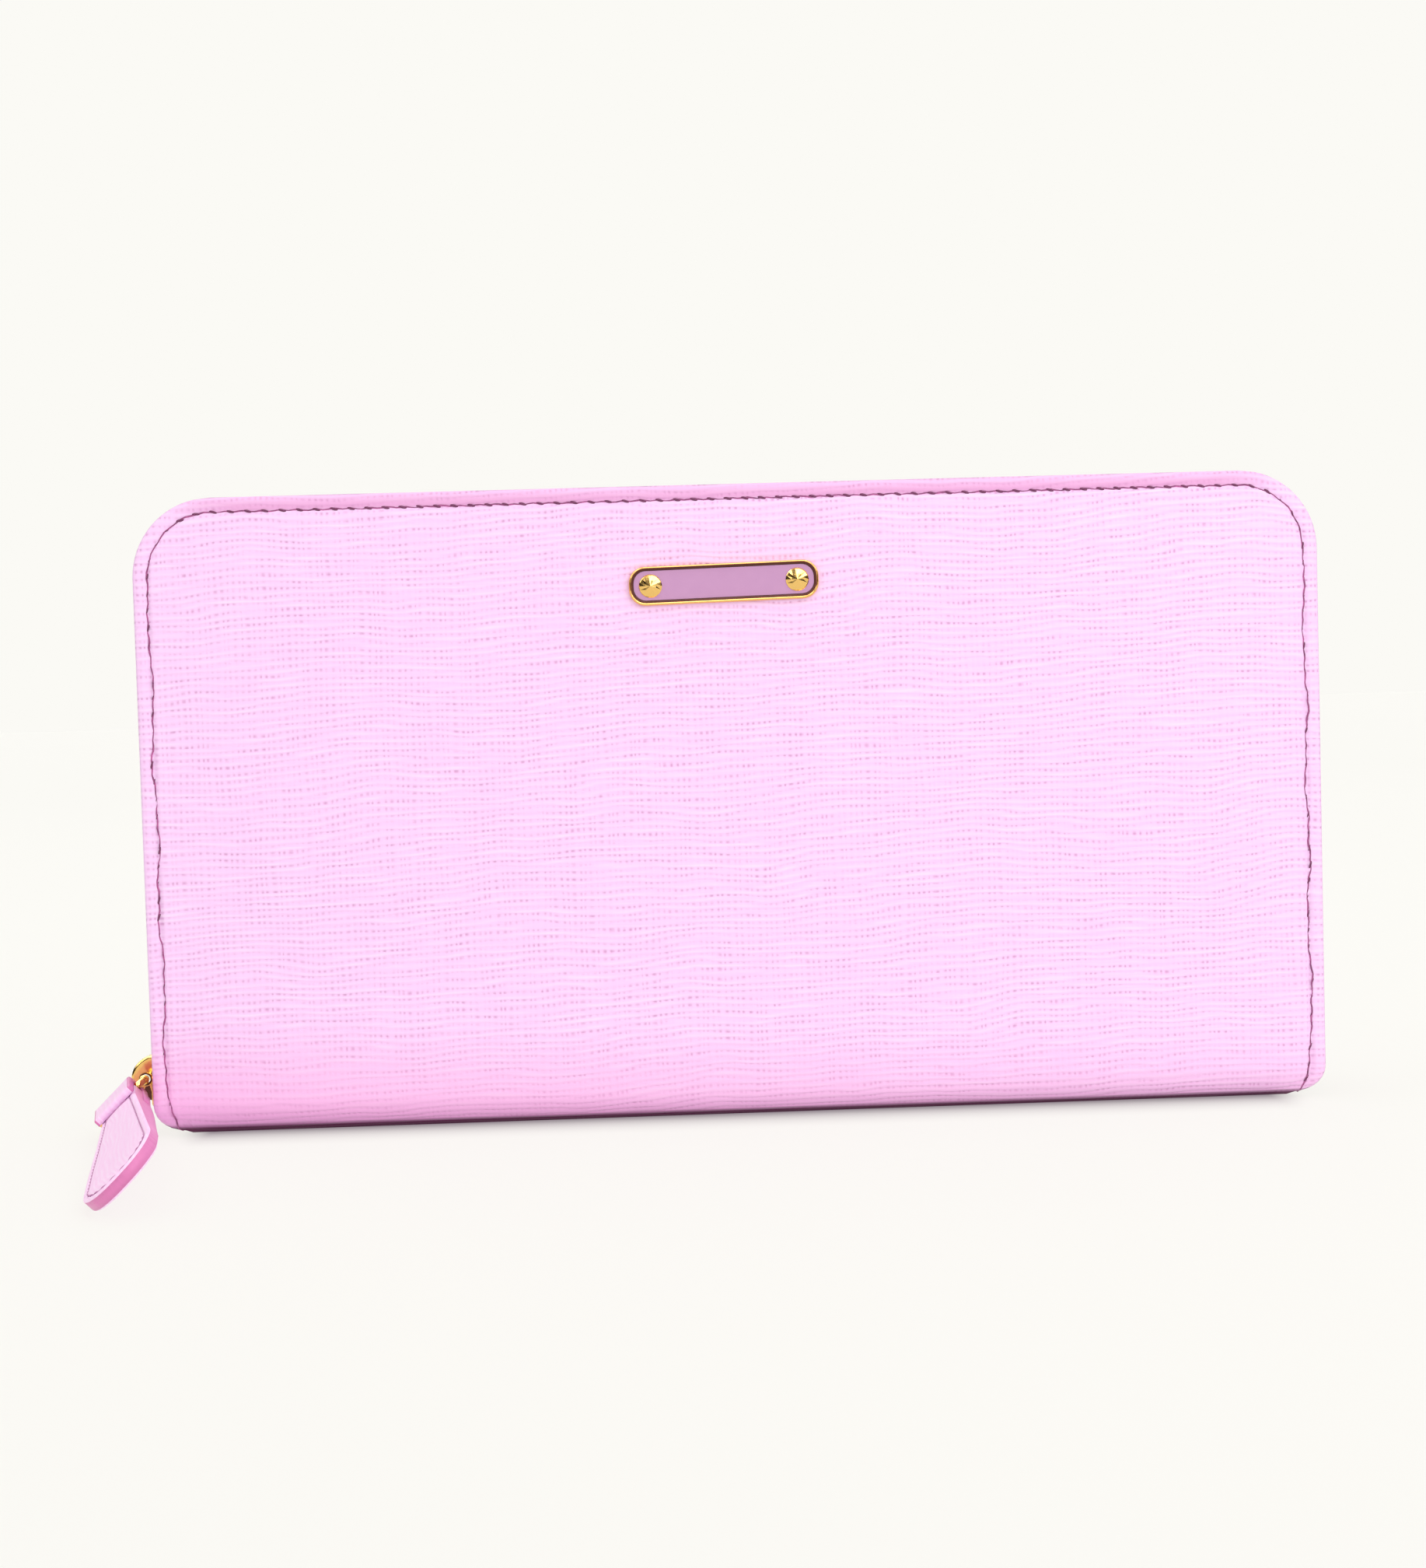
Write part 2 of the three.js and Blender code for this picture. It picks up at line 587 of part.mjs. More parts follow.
// The strip that closes the pocket's bottom and both ends.
function coinEdge() {
  const outer = COIN_HALF_WIDTH;
  const inner = outer - COIN_WALL;
  const top = COIN_TOP - COIN_EDGE_DROP;
  const floor = COIN_BASE + COIN_WALL;
  const shape = polygon([
    [-outer, COIN_BASE], [outer, COIN_BASE], [outer, top], [inner, top],
    [inner, floor], [-inner, floor], [-inner, top], [-outer, top],
  ]);
  const half = COIN_HALF_GAP - LAYER_GAP;
  return plateXZ(shape, -half, half);
}

// A tape rises inside the wall and turns in to the chain.
function coinTape(sign) {
  const outer = COIN_HALF_GAP - LAYER_GAP;
  const inner = outer - COIN_TAPE;
  const top = COIN_ZIP_Z + COIN_TAPE / 2;
  const under = top - COIN_TAPE;
  const points = [
    [outer, COIN_TAPE_BASE], [outer, top], [COIN_TAPE_EDGE, top], [COIN_TAPE_EDGE, under],
    [inner, under], [inner, COIN_TAPE_BASE],
  ];
  const shape = polygon(points.map(([y, z]) => [sign * y, z]));
  const halfLength = COIN_ZIP_HALF_LENGTH + COIN_TAPE_TAIL;
  return prismX(shape, -halfLength, halfLength);
}

function coinChain(sign) {
  const half = COIN_CHAIN_HEIGHT / 2;
  const near = sign * COIN_CHAIN_NEAR_Y;
  const far = sign * COIN_CHAIN_FAR_Y;
  const low = [-COIN_ZIP_HALF_LENGTH, Math.min(near, far), COIN_ZIP_Z - half];
  return boxBetween(low, [COIN_ZIP_HALF_LENGTH, Math.max(near, far), COIN_ZIP_Z + half]);
}

function coinSlider() {
  const left = COIN_SLIDER_X - COIN_SLIDER_LENGTH / 2;
  const right = COIN_SLIDER_X + COIN_SLIDER_LENGTH / 2;
  const top = COIN_ZIP_Z + COIN_CHAIN_HEIGHT / 2 + GAP;
  const under = COIN_ZIP_Z - COIN_CHAIN_HEIGHT / 2 - GAP;
  const outerWidth = COIN_SLIDER_HALF_WIDTH;
  const underWidth = COIN_UNDER_HALF_WIDTH;
  const divider = COIN_DIVIDER_HALF_WIDTH;
  const placed = (points) => points.map(([x, z]) => [COIN_SLIDER_X + x, top + z]);
  const arch = polygon(placed(COIN_ARCH_OUTER));
  arch.holes.push(polygon(placed(COIN_ARCH_INNER)));
  return joined(
    boxBetween([left, -outerWidth, top], [right, outerWidth, top + COIN_SLIDER_PLATE]),
    boxBetween([left, -underWidth, under - COIN_SLIDER_PLATE], [right, underWidth, under]),
    boxBetween([left, -divider, under - LAP], [left + COIN_DIVIDER_LENGTH, divider, top + LAP]),
    plateXZ(arch, -COIN_ARCH_HALF_WIDTH, COIN_ARCH_HALF_WIDTH),
  );
}

// The coin zip's pull: a plate with an eye round the slider's arch, lying along +X.
function coinPull() {
  const z = COIN_ZIP_Z + COIN_CHAIN_HEIGHT / 2 + GAP + COIN_PULL_LIFT;
  const start = COIN_SLIDER_X - COIN_PULL_SETBACK;
  const half = COIN_PULL_HALF_WIDTH;
  const roundCentre = start + COIN_PULL_LENGTH - half;
  const outline = new THREE.Shape();
  outline.moveTo(start, -half);
  outline.lineTo(roundCentre, -half);
  outline.absarc(roundCentre, 0, half, -Math.PI / 2, Math.PI / 2);
  outline.lineTo(start, half);
  const eyeStart = start + COIN_EYE_START;
  const eyeEnd = start + COIN_EYE_END;
  const eyeHalf = COIN_EYE_HALF_WIDTH;
  outline.holes.push(polygon([
    [eyeStart, -eyeHalf], [eyeEnd, -eyeHalf], [eyeEnd, eyeHalf], [eyeStart, eyeHalf],
  ]));
  const thickness = COIN_PULL_THICKNESS;
  return extruded(outline, thickness).translate(0, 0, z - thickness / 2);
}

// ---- gussets ----
function gussetLeaf(sign, y) {
  const outer = sign * GUSSET_OUTER_X;
  const fold = sign * GUSSET_FOLD_X;
  const shape = polygon([
    [outer, GUSSET_BASE], [fold, GUSSET_BASE], [fold, GUSSET_FOLD_TOP], [outer, GUSSET_TOP],
  ]);
  return plateXZ(shape, y, y + GUSSET_THICKNESS);
}

function gussets() {
  const group = new THREE.Group();
  for (const [end, sign] of [["left", -1], ["right", 1]]) {
    const leaves = [
      ["front_cover", -GUSSET_COVER_Y],
      ["front_coin", -GUSSET_COIN_Y],
      ["back_coin", GUSSET_COIN_Y - GUSSET_THICKNESS],
      ["back_cover", GUSSET_COVER_Y - GUSSET_THICKNESS],
    ];
    for (const [place, y] of leaves) {
      group.add(named(["gusset", end, place].join("_"), gussetLeaf(sign, y), lining()));
    }
  }
  return group;
}

// ---- the wallet ----
function wallet() {
  const group = new THREE.Group();
  const back = cover("back", CHAIN_RIGHT_BASE, CHAIN_LEFT_BASE);
  back.rotation.z = Math.PI;
  group.add(spine(), cover("front", CHAIN_LEFT_BASE, CHAIN_RIGHT_BASE), back, badge());
  group.add(zipStop("front", -1), zipStop("back", 1), sliderAssembly(), coinPocket(), gussets());
  group.add(named("coin_slider", coinSlider(), gold()), named("coin_pull", coinPull(), gold()));
  return group;
}

export default wallet();
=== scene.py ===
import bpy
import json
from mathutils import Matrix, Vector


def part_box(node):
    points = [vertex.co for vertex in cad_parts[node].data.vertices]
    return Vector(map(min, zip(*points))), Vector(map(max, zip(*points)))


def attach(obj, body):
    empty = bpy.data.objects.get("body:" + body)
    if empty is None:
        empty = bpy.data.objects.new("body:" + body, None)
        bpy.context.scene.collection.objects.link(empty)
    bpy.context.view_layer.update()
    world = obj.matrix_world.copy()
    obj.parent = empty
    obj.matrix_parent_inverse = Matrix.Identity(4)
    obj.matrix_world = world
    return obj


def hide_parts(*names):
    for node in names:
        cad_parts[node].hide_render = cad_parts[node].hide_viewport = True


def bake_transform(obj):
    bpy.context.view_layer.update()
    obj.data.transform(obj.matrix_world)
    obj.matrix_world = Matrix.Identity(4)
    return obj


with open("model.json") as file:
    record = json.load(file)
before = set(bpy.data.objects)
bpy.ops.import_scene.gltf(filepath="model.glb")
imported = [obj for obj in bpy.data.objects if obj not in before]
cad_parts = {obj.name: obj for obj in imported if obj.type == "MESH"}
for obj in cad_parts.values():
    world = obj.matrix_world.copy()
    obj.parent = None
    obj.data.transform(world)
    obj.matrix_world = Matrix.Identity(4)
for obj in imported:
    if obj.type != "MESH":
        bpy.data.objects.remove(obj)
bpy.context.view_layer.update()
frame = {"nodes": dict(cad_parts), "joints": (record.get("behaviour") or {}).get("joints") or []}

import json
import random
from math import acos, asin, copysign, cos, exp, hypot, pi, radians, sin, sqrt

import bmesh
import bpy
from mathutils import Matrix, Vector

random.seed(7)
MM = 0.001

# ---- places and sizes, in millimetres, read from the frame ----
JOINTS = {joint["name"]: joint for joint in frame["joints"]}


def box_mm(node):
    """The low corner, the high corner and the middle of a CAD node's box."""
    low, high = (Vector(corner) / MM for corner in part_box(node))
    return low, high, (low + high) / 2


SKIN_LOW, SKIN_HIGH, _ = box_mm("front_leather")
SPINE_HIGH = box_mm("spine_leather")[1]
HALF_WIDTH = SKIN_HIGH.x
HEIGHT = SKIN_HIGH.z
HALF_DEPTH = SPINE_HIGH.y
TOP_RADIUS = 13.0
BASE_RADIUS = 5.5
SPINE_RADIUS = 6.0
LEATHER = SKIN_HIGH.y - SKIN_LOW.y
STITCH_INSET = 2.4
STITCH_PITCH = 2.8


# ---- small geometry tools ----
def smooth_step(t):
    t = min(max(t, 0.0), 1.0)
    return t * t * (3 - 2 * t)


def bell(distance, width):
    return exp(-(distance / width) ** 2)


def spread(low, high, coarse, fine, margin):
    """Numbers from low to high, a fine step apart within a margin of either end and a coarse one between."""
    count = round(margin / fine)
    near = [low + margin * i / count for i in range(count)]
    middle_count = max(1, round((high - low - 2 * margin) / coarse))
    middle = [low + margin + (high - low - 2 * margin) * i / middle_count for i in range(middle_count)]
    far = [high - margin + margin * i / count for i in range(count + 1)]
    return near + middle + far


def arc(centre, radius, start, sweep, steps):
    """Points on a circle, from a start angle through a sweep."""
    angles = [start + sweep * k / steps for k in range(steps + 1)]
    return [(centre[0] + radius * cos(a), centre[1] + radius * sin(a)) for a in angles]


def rounded_outline(width, height, radius, steps=5):
    """A rectangle with round corners, from the middle of its place."""
    points = []
    for corner, (sx, sz) in enumerate([(1, -1), (1, 1), (-1, 1), (-1, -1)]):
        centre = (sx * (width / 2 - radius), sz * (height / 2 - radius))
        points += arc(centre, radius, (corner - 1) * pi / 2, pi / 2, steps)
    return points


def grid_faces(rows, columns, first=0, order=(0, 1, 2, 3)):
    """Faces between rows of points. order says how each face goes round its four corners."""
    faces = []
    for i in range(rows - 1):
        for j in range(columns - 1):
            a = first + i * columns + j
            quad = (a, a + 1, a + columns + 1, a + columns)
            faces.append(tuple(quad[k] for k in order))
    return faces


def loft_faces(rings, sides, closed=False, first=0):
    """Faces between rings of points, with a cap at each end unless the rings close on themselves."""
    faces = []
    for i in range(rings if closed else rings - 1):
        near, far = first + i * sides, first + (i + 1) % rings * sides
        for j in range(sides):
            k = (j + 1) % sides
            faces.append((near + j, near + k, far + k, far + j))
    if not closed:
        last = first + (rings - 1) * sides
        faces += [tuple(reversed(range(first, first + sides))), tuple(range(last, last + sides))]
    return faces


def linked(name, data):
    """Puts a mesh, a light or a camera in the scene."""
    obj = bpy.data.objects.new(name, data)
    bpy.context.scene.collection.objects.link(obj)
    return obj


def settled(obj, slot, body, *nodes):
    """Hangs a piece on the body it moves with and hides the CAD nodes it stands for. slot is not used."""
    if nodes:
        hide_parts(*nodes)
    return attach(obj, body)


def make_object(name, verts, faces, materials, uvs=None, smooth=True):
    """A mesh piece from points in millimetres. uvs holds one (u, v) a vertex."""
    mesh = bpy.data.meshes.new(name)
    mesh.from_pydata([Vector(v) * MM for v in verts], [], faces)
    for material in materials:
        mesh.materials.append(material)
    layer = mesh.uv_layers.new(name="grain")
    for loop in mesh.loops:
        co = verts[loop.vertex_index]
        layer.data[loop.index].uv = uvs[loop.vertex_index] if uvs else (co[0], co[1] * 0.5 + co[2])
    mesh.polygons.foreach_set("use_smooth", [smooth] * len(mesh.polygons))
    return linked(name, mesh)


def apply_modifiers(obj):
    """Makes the modifiers' result the object's own mesh."""
    bpy.context.view_layer.update()
    graph = bpy.context.evaluated_depsgraph_get()
    mesh = bpy.data.meshes.new_from_object(obj.evaluated_get(graph))
    obj.modifiers.clear()
    obj.data = mesh
    return obj


def thickened(obj, thickness, offset, **values):
    """Gives a sheet a thickness in millimetres."""
    solid = obj.modifiers.new("thickness", "SOLIDIFY")
    solid.thickness = thickness * MM
    solid.offset = offset
    for key, value in values.items():
        setattr(solid, key, value)
    return apply_modifiers(obj)


def bevelled(obj, width, segments=3):
    """Rounds an object's sharp edges by a width in millimetres."""
    bevel = obj.modifiers.new("bevel", "BEVEL")
    bevel.width = width * MM
    bevel.segments = segments
    bevel.limit_method = "ANGLE"
    bevel.angle_limit = radians(35)
    bevel.harden_normals = True
    return apply_modifiers(obj)


def extruded(name, outline, place, thickness, materials, bevel):
    """A plate from a closed outline. place(a, b, t) gives the point at (a, b), t through its thickness."""
    count = len(outline)
    verts = [place(a, b, 0.0) for a, b in outline] + [place(a, b, thickness) for a, b in outline]
    faces = [tuple(reversed(range(count))), tuple(range(count, 2 * count))]
    faces += [(i, (i + 1) % count, count + (i + 1) % count, count + i) for i in range(count)]
    obj = outward(make_object(name, verts, faces, materials))
    return bevelled(obj, bevel) if bevel else obj


def outward(obj):
    """Turns a closed mesh's faces outwards."""
    work = bmesh.new()
    work.from_mesh(obj.data)
    bmesh.ops.recalc_face_normals(work, faces=work.faces)
    work.to_mesh(obj.data)
    work.free()
    return obj


def ring(centre, across, up, radius, sides, flatten=1.0):
    """Points round a centre, from the direction across towards up."""
    return [centre + across * (radius * a) + up * (radius * flatten * b)
            for a, b in arc((0, 0), 1, 0, 2 * pi, sides)[:-1]]


def tube(name, points, radius, material, closed=False, sides=12, flatten=1.0):
    """A round wire along points. radius may be a number or a function of the share of the length."""
    count = len(points)
    path = [Vector(p) for p in points]
    verts, uvs = [], []
    normal = None
    travelled = 0.0
    for i, point in enumerate(path):
        travelled += (point - path[i - 1]).length if i else 0.0
        before = path[(i - 1) % count] if closed or i else path[0]
        after = path[(i + 1) % count] if closed or i < count - 1 else path[-1]
        tangent = (after - before).normalized()
        if normal is None:
            normal = tangent.orthogonal().normalized()
        normal = (normal - tangent * normal.dot(tangent)).normalized()
        r = radius(i / (count - 1)) if callable(radius) else radius
        verts += ring(point, normal, tangent.cross(normal), r, sides, flatten)
        uvs += [(travelled, j * 0.3) for j in range(sides)]
    return outward(make_object(name, verts, loft_faces(count, sides, closed), [material], uvs))


def along(points, step, start):
    """Places a step apart along points: (point, tangent) pairs."""
    found, travelled, target = [], 0.0, start
    for a, b in zip(points, points[1:]):
        span = (b - a).length
        while span > 0 and target <= travelled + span:
            found.append((a.lerp(b, (target - travelled) / span), (b - a) / span))
            target += step
        travelled += span
    return found


def stitches(name, points, normal_at, material, pitch=STITCH_PITCH, length=2.3, radius=0.26, slant=12, lift=0.05,
             weight=None):
    """Thread stitches along points. normal_at(point) is the direction out of the leather, and weight(tangent) scales
    a stitch."""
    verts, faces, uvs = [], [], []
    rings, sides = 7, 8
    for point, tangent in along(points, pitch, pitch * 0.5):
        normal = normal_at(point).normalized()
        lean = Matrix.Rotation(radians(slant + random.uniform(-3, 3)), 3, normal) @ tangent
        across = normal.cross(lean)
        base = len(verts)
        heavy = weight(tangent) if weight else 1.0
        size = length * random.uniform(0.94, 1.04) * (0.4 + 0.6 * heavy)
        thick = radius * heavy
        for i in range(rings):
            t = i / (rings - 1)
            swell = thick * (0.35 + 0.65 * sin(pi * (0.1 + 0.8 * t)))
            sink = lift + thick * 1.1 * (sin(pi * t) - 0.6)
            centre = point + lean * (size * (t - 0.5)) + normal * sink
            verts += ring(centre, across, normal, swell, sides)
            uvs += [(t * size, j * 0.2) for j in range(sides)]
        faces += loft_faces(rings, sides, first=base)
    return outward(make_object(name, verts, faces, [material], uvs))


# The wrap is one sheet a side, from the middle of the base round the fold and up to the top edge.
FLAT = HALF_DEPTH - SPINE_RADIUS
FOLD = SPINE_RADIUS * pi / 2
SHEET_LENGTH = FLAT + FOLD + HEIGHT - SPINE_RADIUS


# ---- materials ----
class Nodes:
    """A new material's node tree, or a given owner's, with short calls for the nodes used here."""

    def __init__(self, name, owner=None, shader="Principled BSDF"):
        self.material = owner or bpy.data.materials.new(name)
        self.material.use_nodes = True
        self.tree = self.material.node_tree
        self.shader = self.tree.nodes[shader]

    def add(self, kind, **values):
        """A new node. A value is for its input of that name, or else for its setting."""
        node = self.tree.nodes.new(kind)
        for key, value in values.items():
            if key.replace("_", " ") in node.inputs:
                self.put(node.inputs[key.replace("_", " ")], value)
            else:
                setattr(node, key, value)
        return node

    def link(self, source, target):
        self.tree.links.new(source, target)

    def put(self, socket, value):
        """Links a socket to another, or sets it. A colour is given as three numbers."""
        if isinstance(value, bpy.types.NodeSocket):
            self.link(value, socket)
        elif isinstance(value, tuple) and len(value) < len(socket.default_value):
            socket.default_value = (*value, 1.0)
        else:
            socket.default_value = value

    def math(self, operation, a, b=0.0, c=0.0):
        node = self.add("ShaderNodeMath", operation=operation)
        for socket, value in zip(node.inputs, (a, b, c)):
            self.put(socket, value)
        return node.outputs[0]

    def times(self, a, b):
        return self.math("MULTIPLY", a, b)

    def plus(self, a, b):
        return self.math("ADD", a, b)

    def line(self, value, slope, start):
        return self.math("MULTIPLY_ADD", value, slope, start)

    def clamped(self, value):
        return self.math("MINIMUM", self.math("MAXIMUM", value, 0.0), 1.0)

    def split(self, vector):
        return tuple(self.add("ShaderNodeSeparateXYZ", Vector=vector).outputs)

    def uv(self):
        return self.add("ShaderNodeUVMap", uv_map="grain").outputs[0]

    def scaled(self, vector, scale):
        return self.add("ShaderNodeMapping", Vector=vector, Scale=scale).outputs[0]

    def noise(self, vector, scale, detail=2.0, rough=0.5, stretch=None):
        vector = self.scaled(vector, stretch) if stretch else vector
        return self.add("ShaderNodeTexNoise", Vector=vector, Scale=scale, Detail=detail, Roughness=rough).outputs[0]

    def mix(self, factor, a, b):
        node = self.add("ShaderNodeMix", data_type="RGBA", Factor=factor)
        self.put(node.inputs[6], a)
        self.put(node.inputs[7], b)
        return node.outputs[2]

    def bump(self, height, distance):
        self.set(Normal=self.add("ShaderNodeBump", Distance=distance, Height=height).outputs[0])

    def set(self, **values):
        for key, value in values.items():
            self.put(self.shader.inputs[key.replace("_", " ")], value)


GRAIN_LEAN = -0.03
BORDER_TINT = 0.8


def grained_leather(name, face, pit, depth=0.00012, row=1.08, column=1.1, roughness=0.42, shaded_fold=False):
    """Grained leather: wavy rows of ridges, with short runs of pits along the valleys between them. row and column
    are the grain's pitches. With a shaded fold the leather gets painted shade there, from a pinker tone low on the
    panel to a dark painted contact line at the base, stronger to the left and with less gloss on the line, and a
    pinker border at the top, paler at the edge as a painted highlight."""
    n = Nodes(name)
    uv = n.uv()
    across, up, _ = n.split(uv)
    wave = n.noise(uv, 0.03, 2.0, 0.45)
    ripple = n.noise(uv, 0.8, 2.0, stretch=(0.12, 0.6, 1.0))
    sway = n.noise(uv, 0.5, 1.0, stretch=(1.1, 0.12, 1.0))
    patch = n.noise(uv, 0.11, 3.0, 0.6, stretch=(0.5, 1.0, 1.0))
    runs = n.noise(uv, 1.0, 2.0, 0.6, stretch=(0.16, 0.9, 1.0))
    v = n.line(ripple, 1.2, n.line(wave, 6.0, n.line(across, GRAIN_LEAN, up)))
    u = n.line(sway, 1.5, across)
    valley, column_part = (n.line(n.math("COSINE", n.times(place, 2 * pi / pitch)), 0.5, 0.5)
                           for place, pitch in ((v, row), (u, column)))
    dot = n.times(n.math("POWER", valley, 3.0), n.math("POWER", column_part, 1.8))
    pits = n.times(dot, n.clamped(n.line(runs, 3.4, -1.25)))
    streak = n.line(n.noise(uv, 0.9, 2.0, 0.6, stretch=(0.1, 1.0, 1.0)), 3.0, -1.1)
    ridge = n.times(n.math("POWER", n.math("SUBTRACT", 1.0, valley), 2.0), n.clamped(streak))
    height = n.line(n.math("POWER", valley, 1.5), -0.6, 1.0)
    height = n.line(column_part, -0.08, height)
    height = n.line(pits, -0.7, height)
    height = n.line(n.noise(uv, 3.0, 2.0), 0.25, height)
    shade = tuple(0.85 * c + 0.15 * p for c, p in zip(face, pit))
    pale = tuple(min(c + 0.13, 1.0) for c in face)
    colour = n.mix(n.times(valley, n.times(patch, 0.5)), face, shade)
    colour = n.mix(n.times(column_part, n.line(patch, -0.5, 0.4)), colour, shade)
    colour = n.mix(n.times(ridge, 0.7), colour, pale)
    colour = n.mix(n.times(pits, 0.62), colour, pit)
    gloss = 0.4
    if shaded_fold:
        # Painted shade at the fold: darker towards the base, and reaching higher towards the left.
        for low, high, power, strength, shade_tone in FOLD_SHADE:
            reach = n.line(across, FOLD_SHADE_LEAN * (high - low) / HALF_WIDTH, up)
            share = n.line(reach, -1 / (high - low), high / (high - low))
            share = n.math("POWER", n.clamped(share), power)
            colour = n.mix(n.times(share, strength), colour, shade_tone)
        # The painted contact line at the base also loses its gloss.
        gloss = n.line(share, -gloss, gloss)
        # A pinker border above the top stitches, thinned towards the edge as a painted highlight.
        rise = n.line(up, 1 / BORDER_BLEED,
                      (STITCH_INSET + BORDER_BLEED / 2 - SHEET_LENGTH) / BORDER_BLEED)
        fall = n.line(up, -1 / STITCH_INSET, SHEET_LENGTH / STITCH_INSET + 0.35)
        ends = n.line(n.math("ABSOLUTE", across), -1 / TOP_RADIUS,
                      (HALF_WIDTH - TOP_RADIUS / 3) / TOP_RADIUS)
        share = n.math("MINIMUM", n.math("MINIMUM", rise, fall), n.math("MINIMUM", ends, 1.0))
        colour = n.mix(n.times(n.math("MAXIMUM", share, 0.0), BORDER_TINT), colour, BORDER_PINK)
    n.set(Base_Color=colour, Specular_IOR_Level=gloss, Sheen_Weight=0.1, Sheen_Roughness=0.5)
    n.set(Roughness=n.line(pits, 0.25, n.line(patch, 0.12, roughness - 0.06)))
    n.bump(height, depth)
    return n.material


def smooth_leather(name, face, dark, roughness=0.5):
    """Fine pebbled leather for the inside."""
    n = Nodes(name)
    uv = n.uv()
    cells = n.add("ShaderNodeTexVoronoi", feature="F1", Vector=uv, Scale=1.8)
    patch = n.noise(uv, 0.15, 3.0)
    n.set(Base_Color=n.mix(n.times(patch, 0.6), face, dark))
    n.set(Roughness=n.line(patch, 0.15, roughness), Sheen_Weight=0.15)
    n.bump(n.plus(cells.outputs[0], n.noise(uv, 4.0, 2.0)), 0.00005)
    return n.material


def woven(name, face, dark, pitch=0.45, depth=0.0001):
    """A plain weave of two sets of threads."""
    n = Nodes(name)
    uv = n.uv()
    across, up, _ = n.split(uv)
    warp = n.math("SINE", n.times(across, 2 * pi / pitch))
    weft = n.math("SINE", n.times(up, 2 * pi / pitch))
    weave = n.line(n.times(warp, weft), 0.5, 0.5)
    fleck = n.noise(uv, 1.3, 3.0, 0.6)
    factor = n.times(weave, n.line(fleck, 0.8, 0.1))
    n.set(Base_Color=n.mix(factor, face, dark), Roughness=0.85, Sheen_Weight=0.3)
    n.bump(n.plus(weave, fleck), depth)
    return n.material


def polished_gold(name, colour, roughness=0.16, wear=0.12):
    """Plated metal with fine scratches and a little dulling in random patches."""
    n = Nodes(name)
    uv = n.add("ShaderNodeTexCoord").outputs["Object"]
    scratch = n.noise(uv, 1.0, 3.0, 0.7, stretch=(900.0, 5000.0, 900.0))
    patch = n.noise(uv, 350.0, 3.0)
    dull = tuple(c * 0.8 for c in colour)
    n.set(Base_Color=n.mix(n.times(patch, 0.4), colour, dull), Metallic=1.0)
    n.set(Roughness=n.line(scratch, wear, roughness - wear / 2))
    n.bump(scratch, 0.000004)
    return n.material


def enamel(name, colour, dark, roughness=0.2, coat=0.5):
    """A smooth fill with a faint cloud in its colour and, with a coat, a clear gloss."""
    n = Nodes(name)
    uv = n.uv()
    patch = n.noise(uv, 0.5, 2.0)
    n.set(Base_Color=n.mix(n.times(patch, 0.4), colour, dark))
    n.set(Roughness=n.line(n.noise(uv, 6.0, 2.0), 0.1, roughness), Coat_Weight=coat, Coat_Roughness=0.08)
    n.bump(n.noise(uv, 2.0, 2.0), 0.00001)
    return n.material


def thread(name, colour, dark, run=0.0):
    """Twisted sewing thread. A run mixes the two colours along its length too, at that many changes a millimetre."""
    n = Nodes(name)
    uv = n.uv()
    across, up, _ = n.split(uv)
    twist = n.math("SINE", n.times(n.plus(across, up), 14.0))
    factor = n.line(twist, 0.5, 0.5)
    tone = factor
    if run:
        tone = n.line(n.noise(uv, run, 3.0, 0.6, stretch=(1.0, 0.01, 1.0)), 4.0, -1.5)
        tone = n.clamped(tone)
    n.set(Base_Color=n.mix(tone, colour, dark), Roughness=0.65, Sheen_Weight=0.2)
    n.bump(factor, 0.00003)
    return n.material


def pressed_board(name, colour, dark):
    """Stiff board of pressed fibres."""
    n = Nodes(name)
    uv = n.uv()
    fibre = n.noise(uv, 1.5, 4.0, 0.7, stretch=(1.0, 3.0, 1.0))
    n.set(Base_Color=n.mix(fibre, colour, dark), Roughness=0.9)
    n.bump(fibre, 0.00006)
    return n.material


# Painted shade at the fold, in three layers darkening to a dark contact line at the base, each from none at a high
# sheet length to full at a low one: (low, high, power, strength, colour).
FOLD_SHADE = [(9.0, 26.0, 1.3, 0.85, (1.0, 0.48, 0.84)), (7.0, 14.2, 1.1, 0.8, (0.58, 0.20, 0.50)),
        (9.5, 10.7, 0.8, 0.97, (0.09, 0.008, 0.05))]
# The painted shade at the fold reaches higher towards the left end.
FOLD_SHADE_LEAN = 0.28
# The border above the top stitches is tinted pinker than the panel; the tint thins out towards the edge, which leaves
# a painted highlight there.
BORDER_BLEED = 0.5
BORDER_PINK = (0.84, 0.38, 0.70)
SKIN = grained_leather("outer_grain", (0.98, 0.64, 0.99), (0.64, 0.24, 0.52), row=1.15, column=0.98, shaded_fold=True)
SKIN_EDGE = smooth_leather("edge_paint", (0.80, 0.34, 0.62), (0.66, 0.22, 0.48), 0.4)
SKIN_INSIDE = smooth_leather("leather_back", (0.72, 0.42, 0.60), (0.60, 0.32, 0.50), 0.8)
TIER_SKIN = smooth_leather("card_leather", (0.93, 0.56, 0.86), (0.84, 0.42, 0.72))
PULL_SKIN = grained_leather("pull_grain", (0.98, 0.65, 0.94), (0.94, 0.55, 0.84), 0.000012, 0.8, 0.8, 0.5)
PULL_EDGE = smooth_leather("pull_edge_paint", (0.76, 0.22, 0.50), (0.64, 0.15, 0.40), 0.38)
THREAD = thread("dark_thread", (0.10, 0.012, 0.06), (0.24, 0.05, 0.15))
STRAND = thread("plum_strand", (0.58, 0.14, 0.38), (0.22, 0.04, 0.15), 0.45)
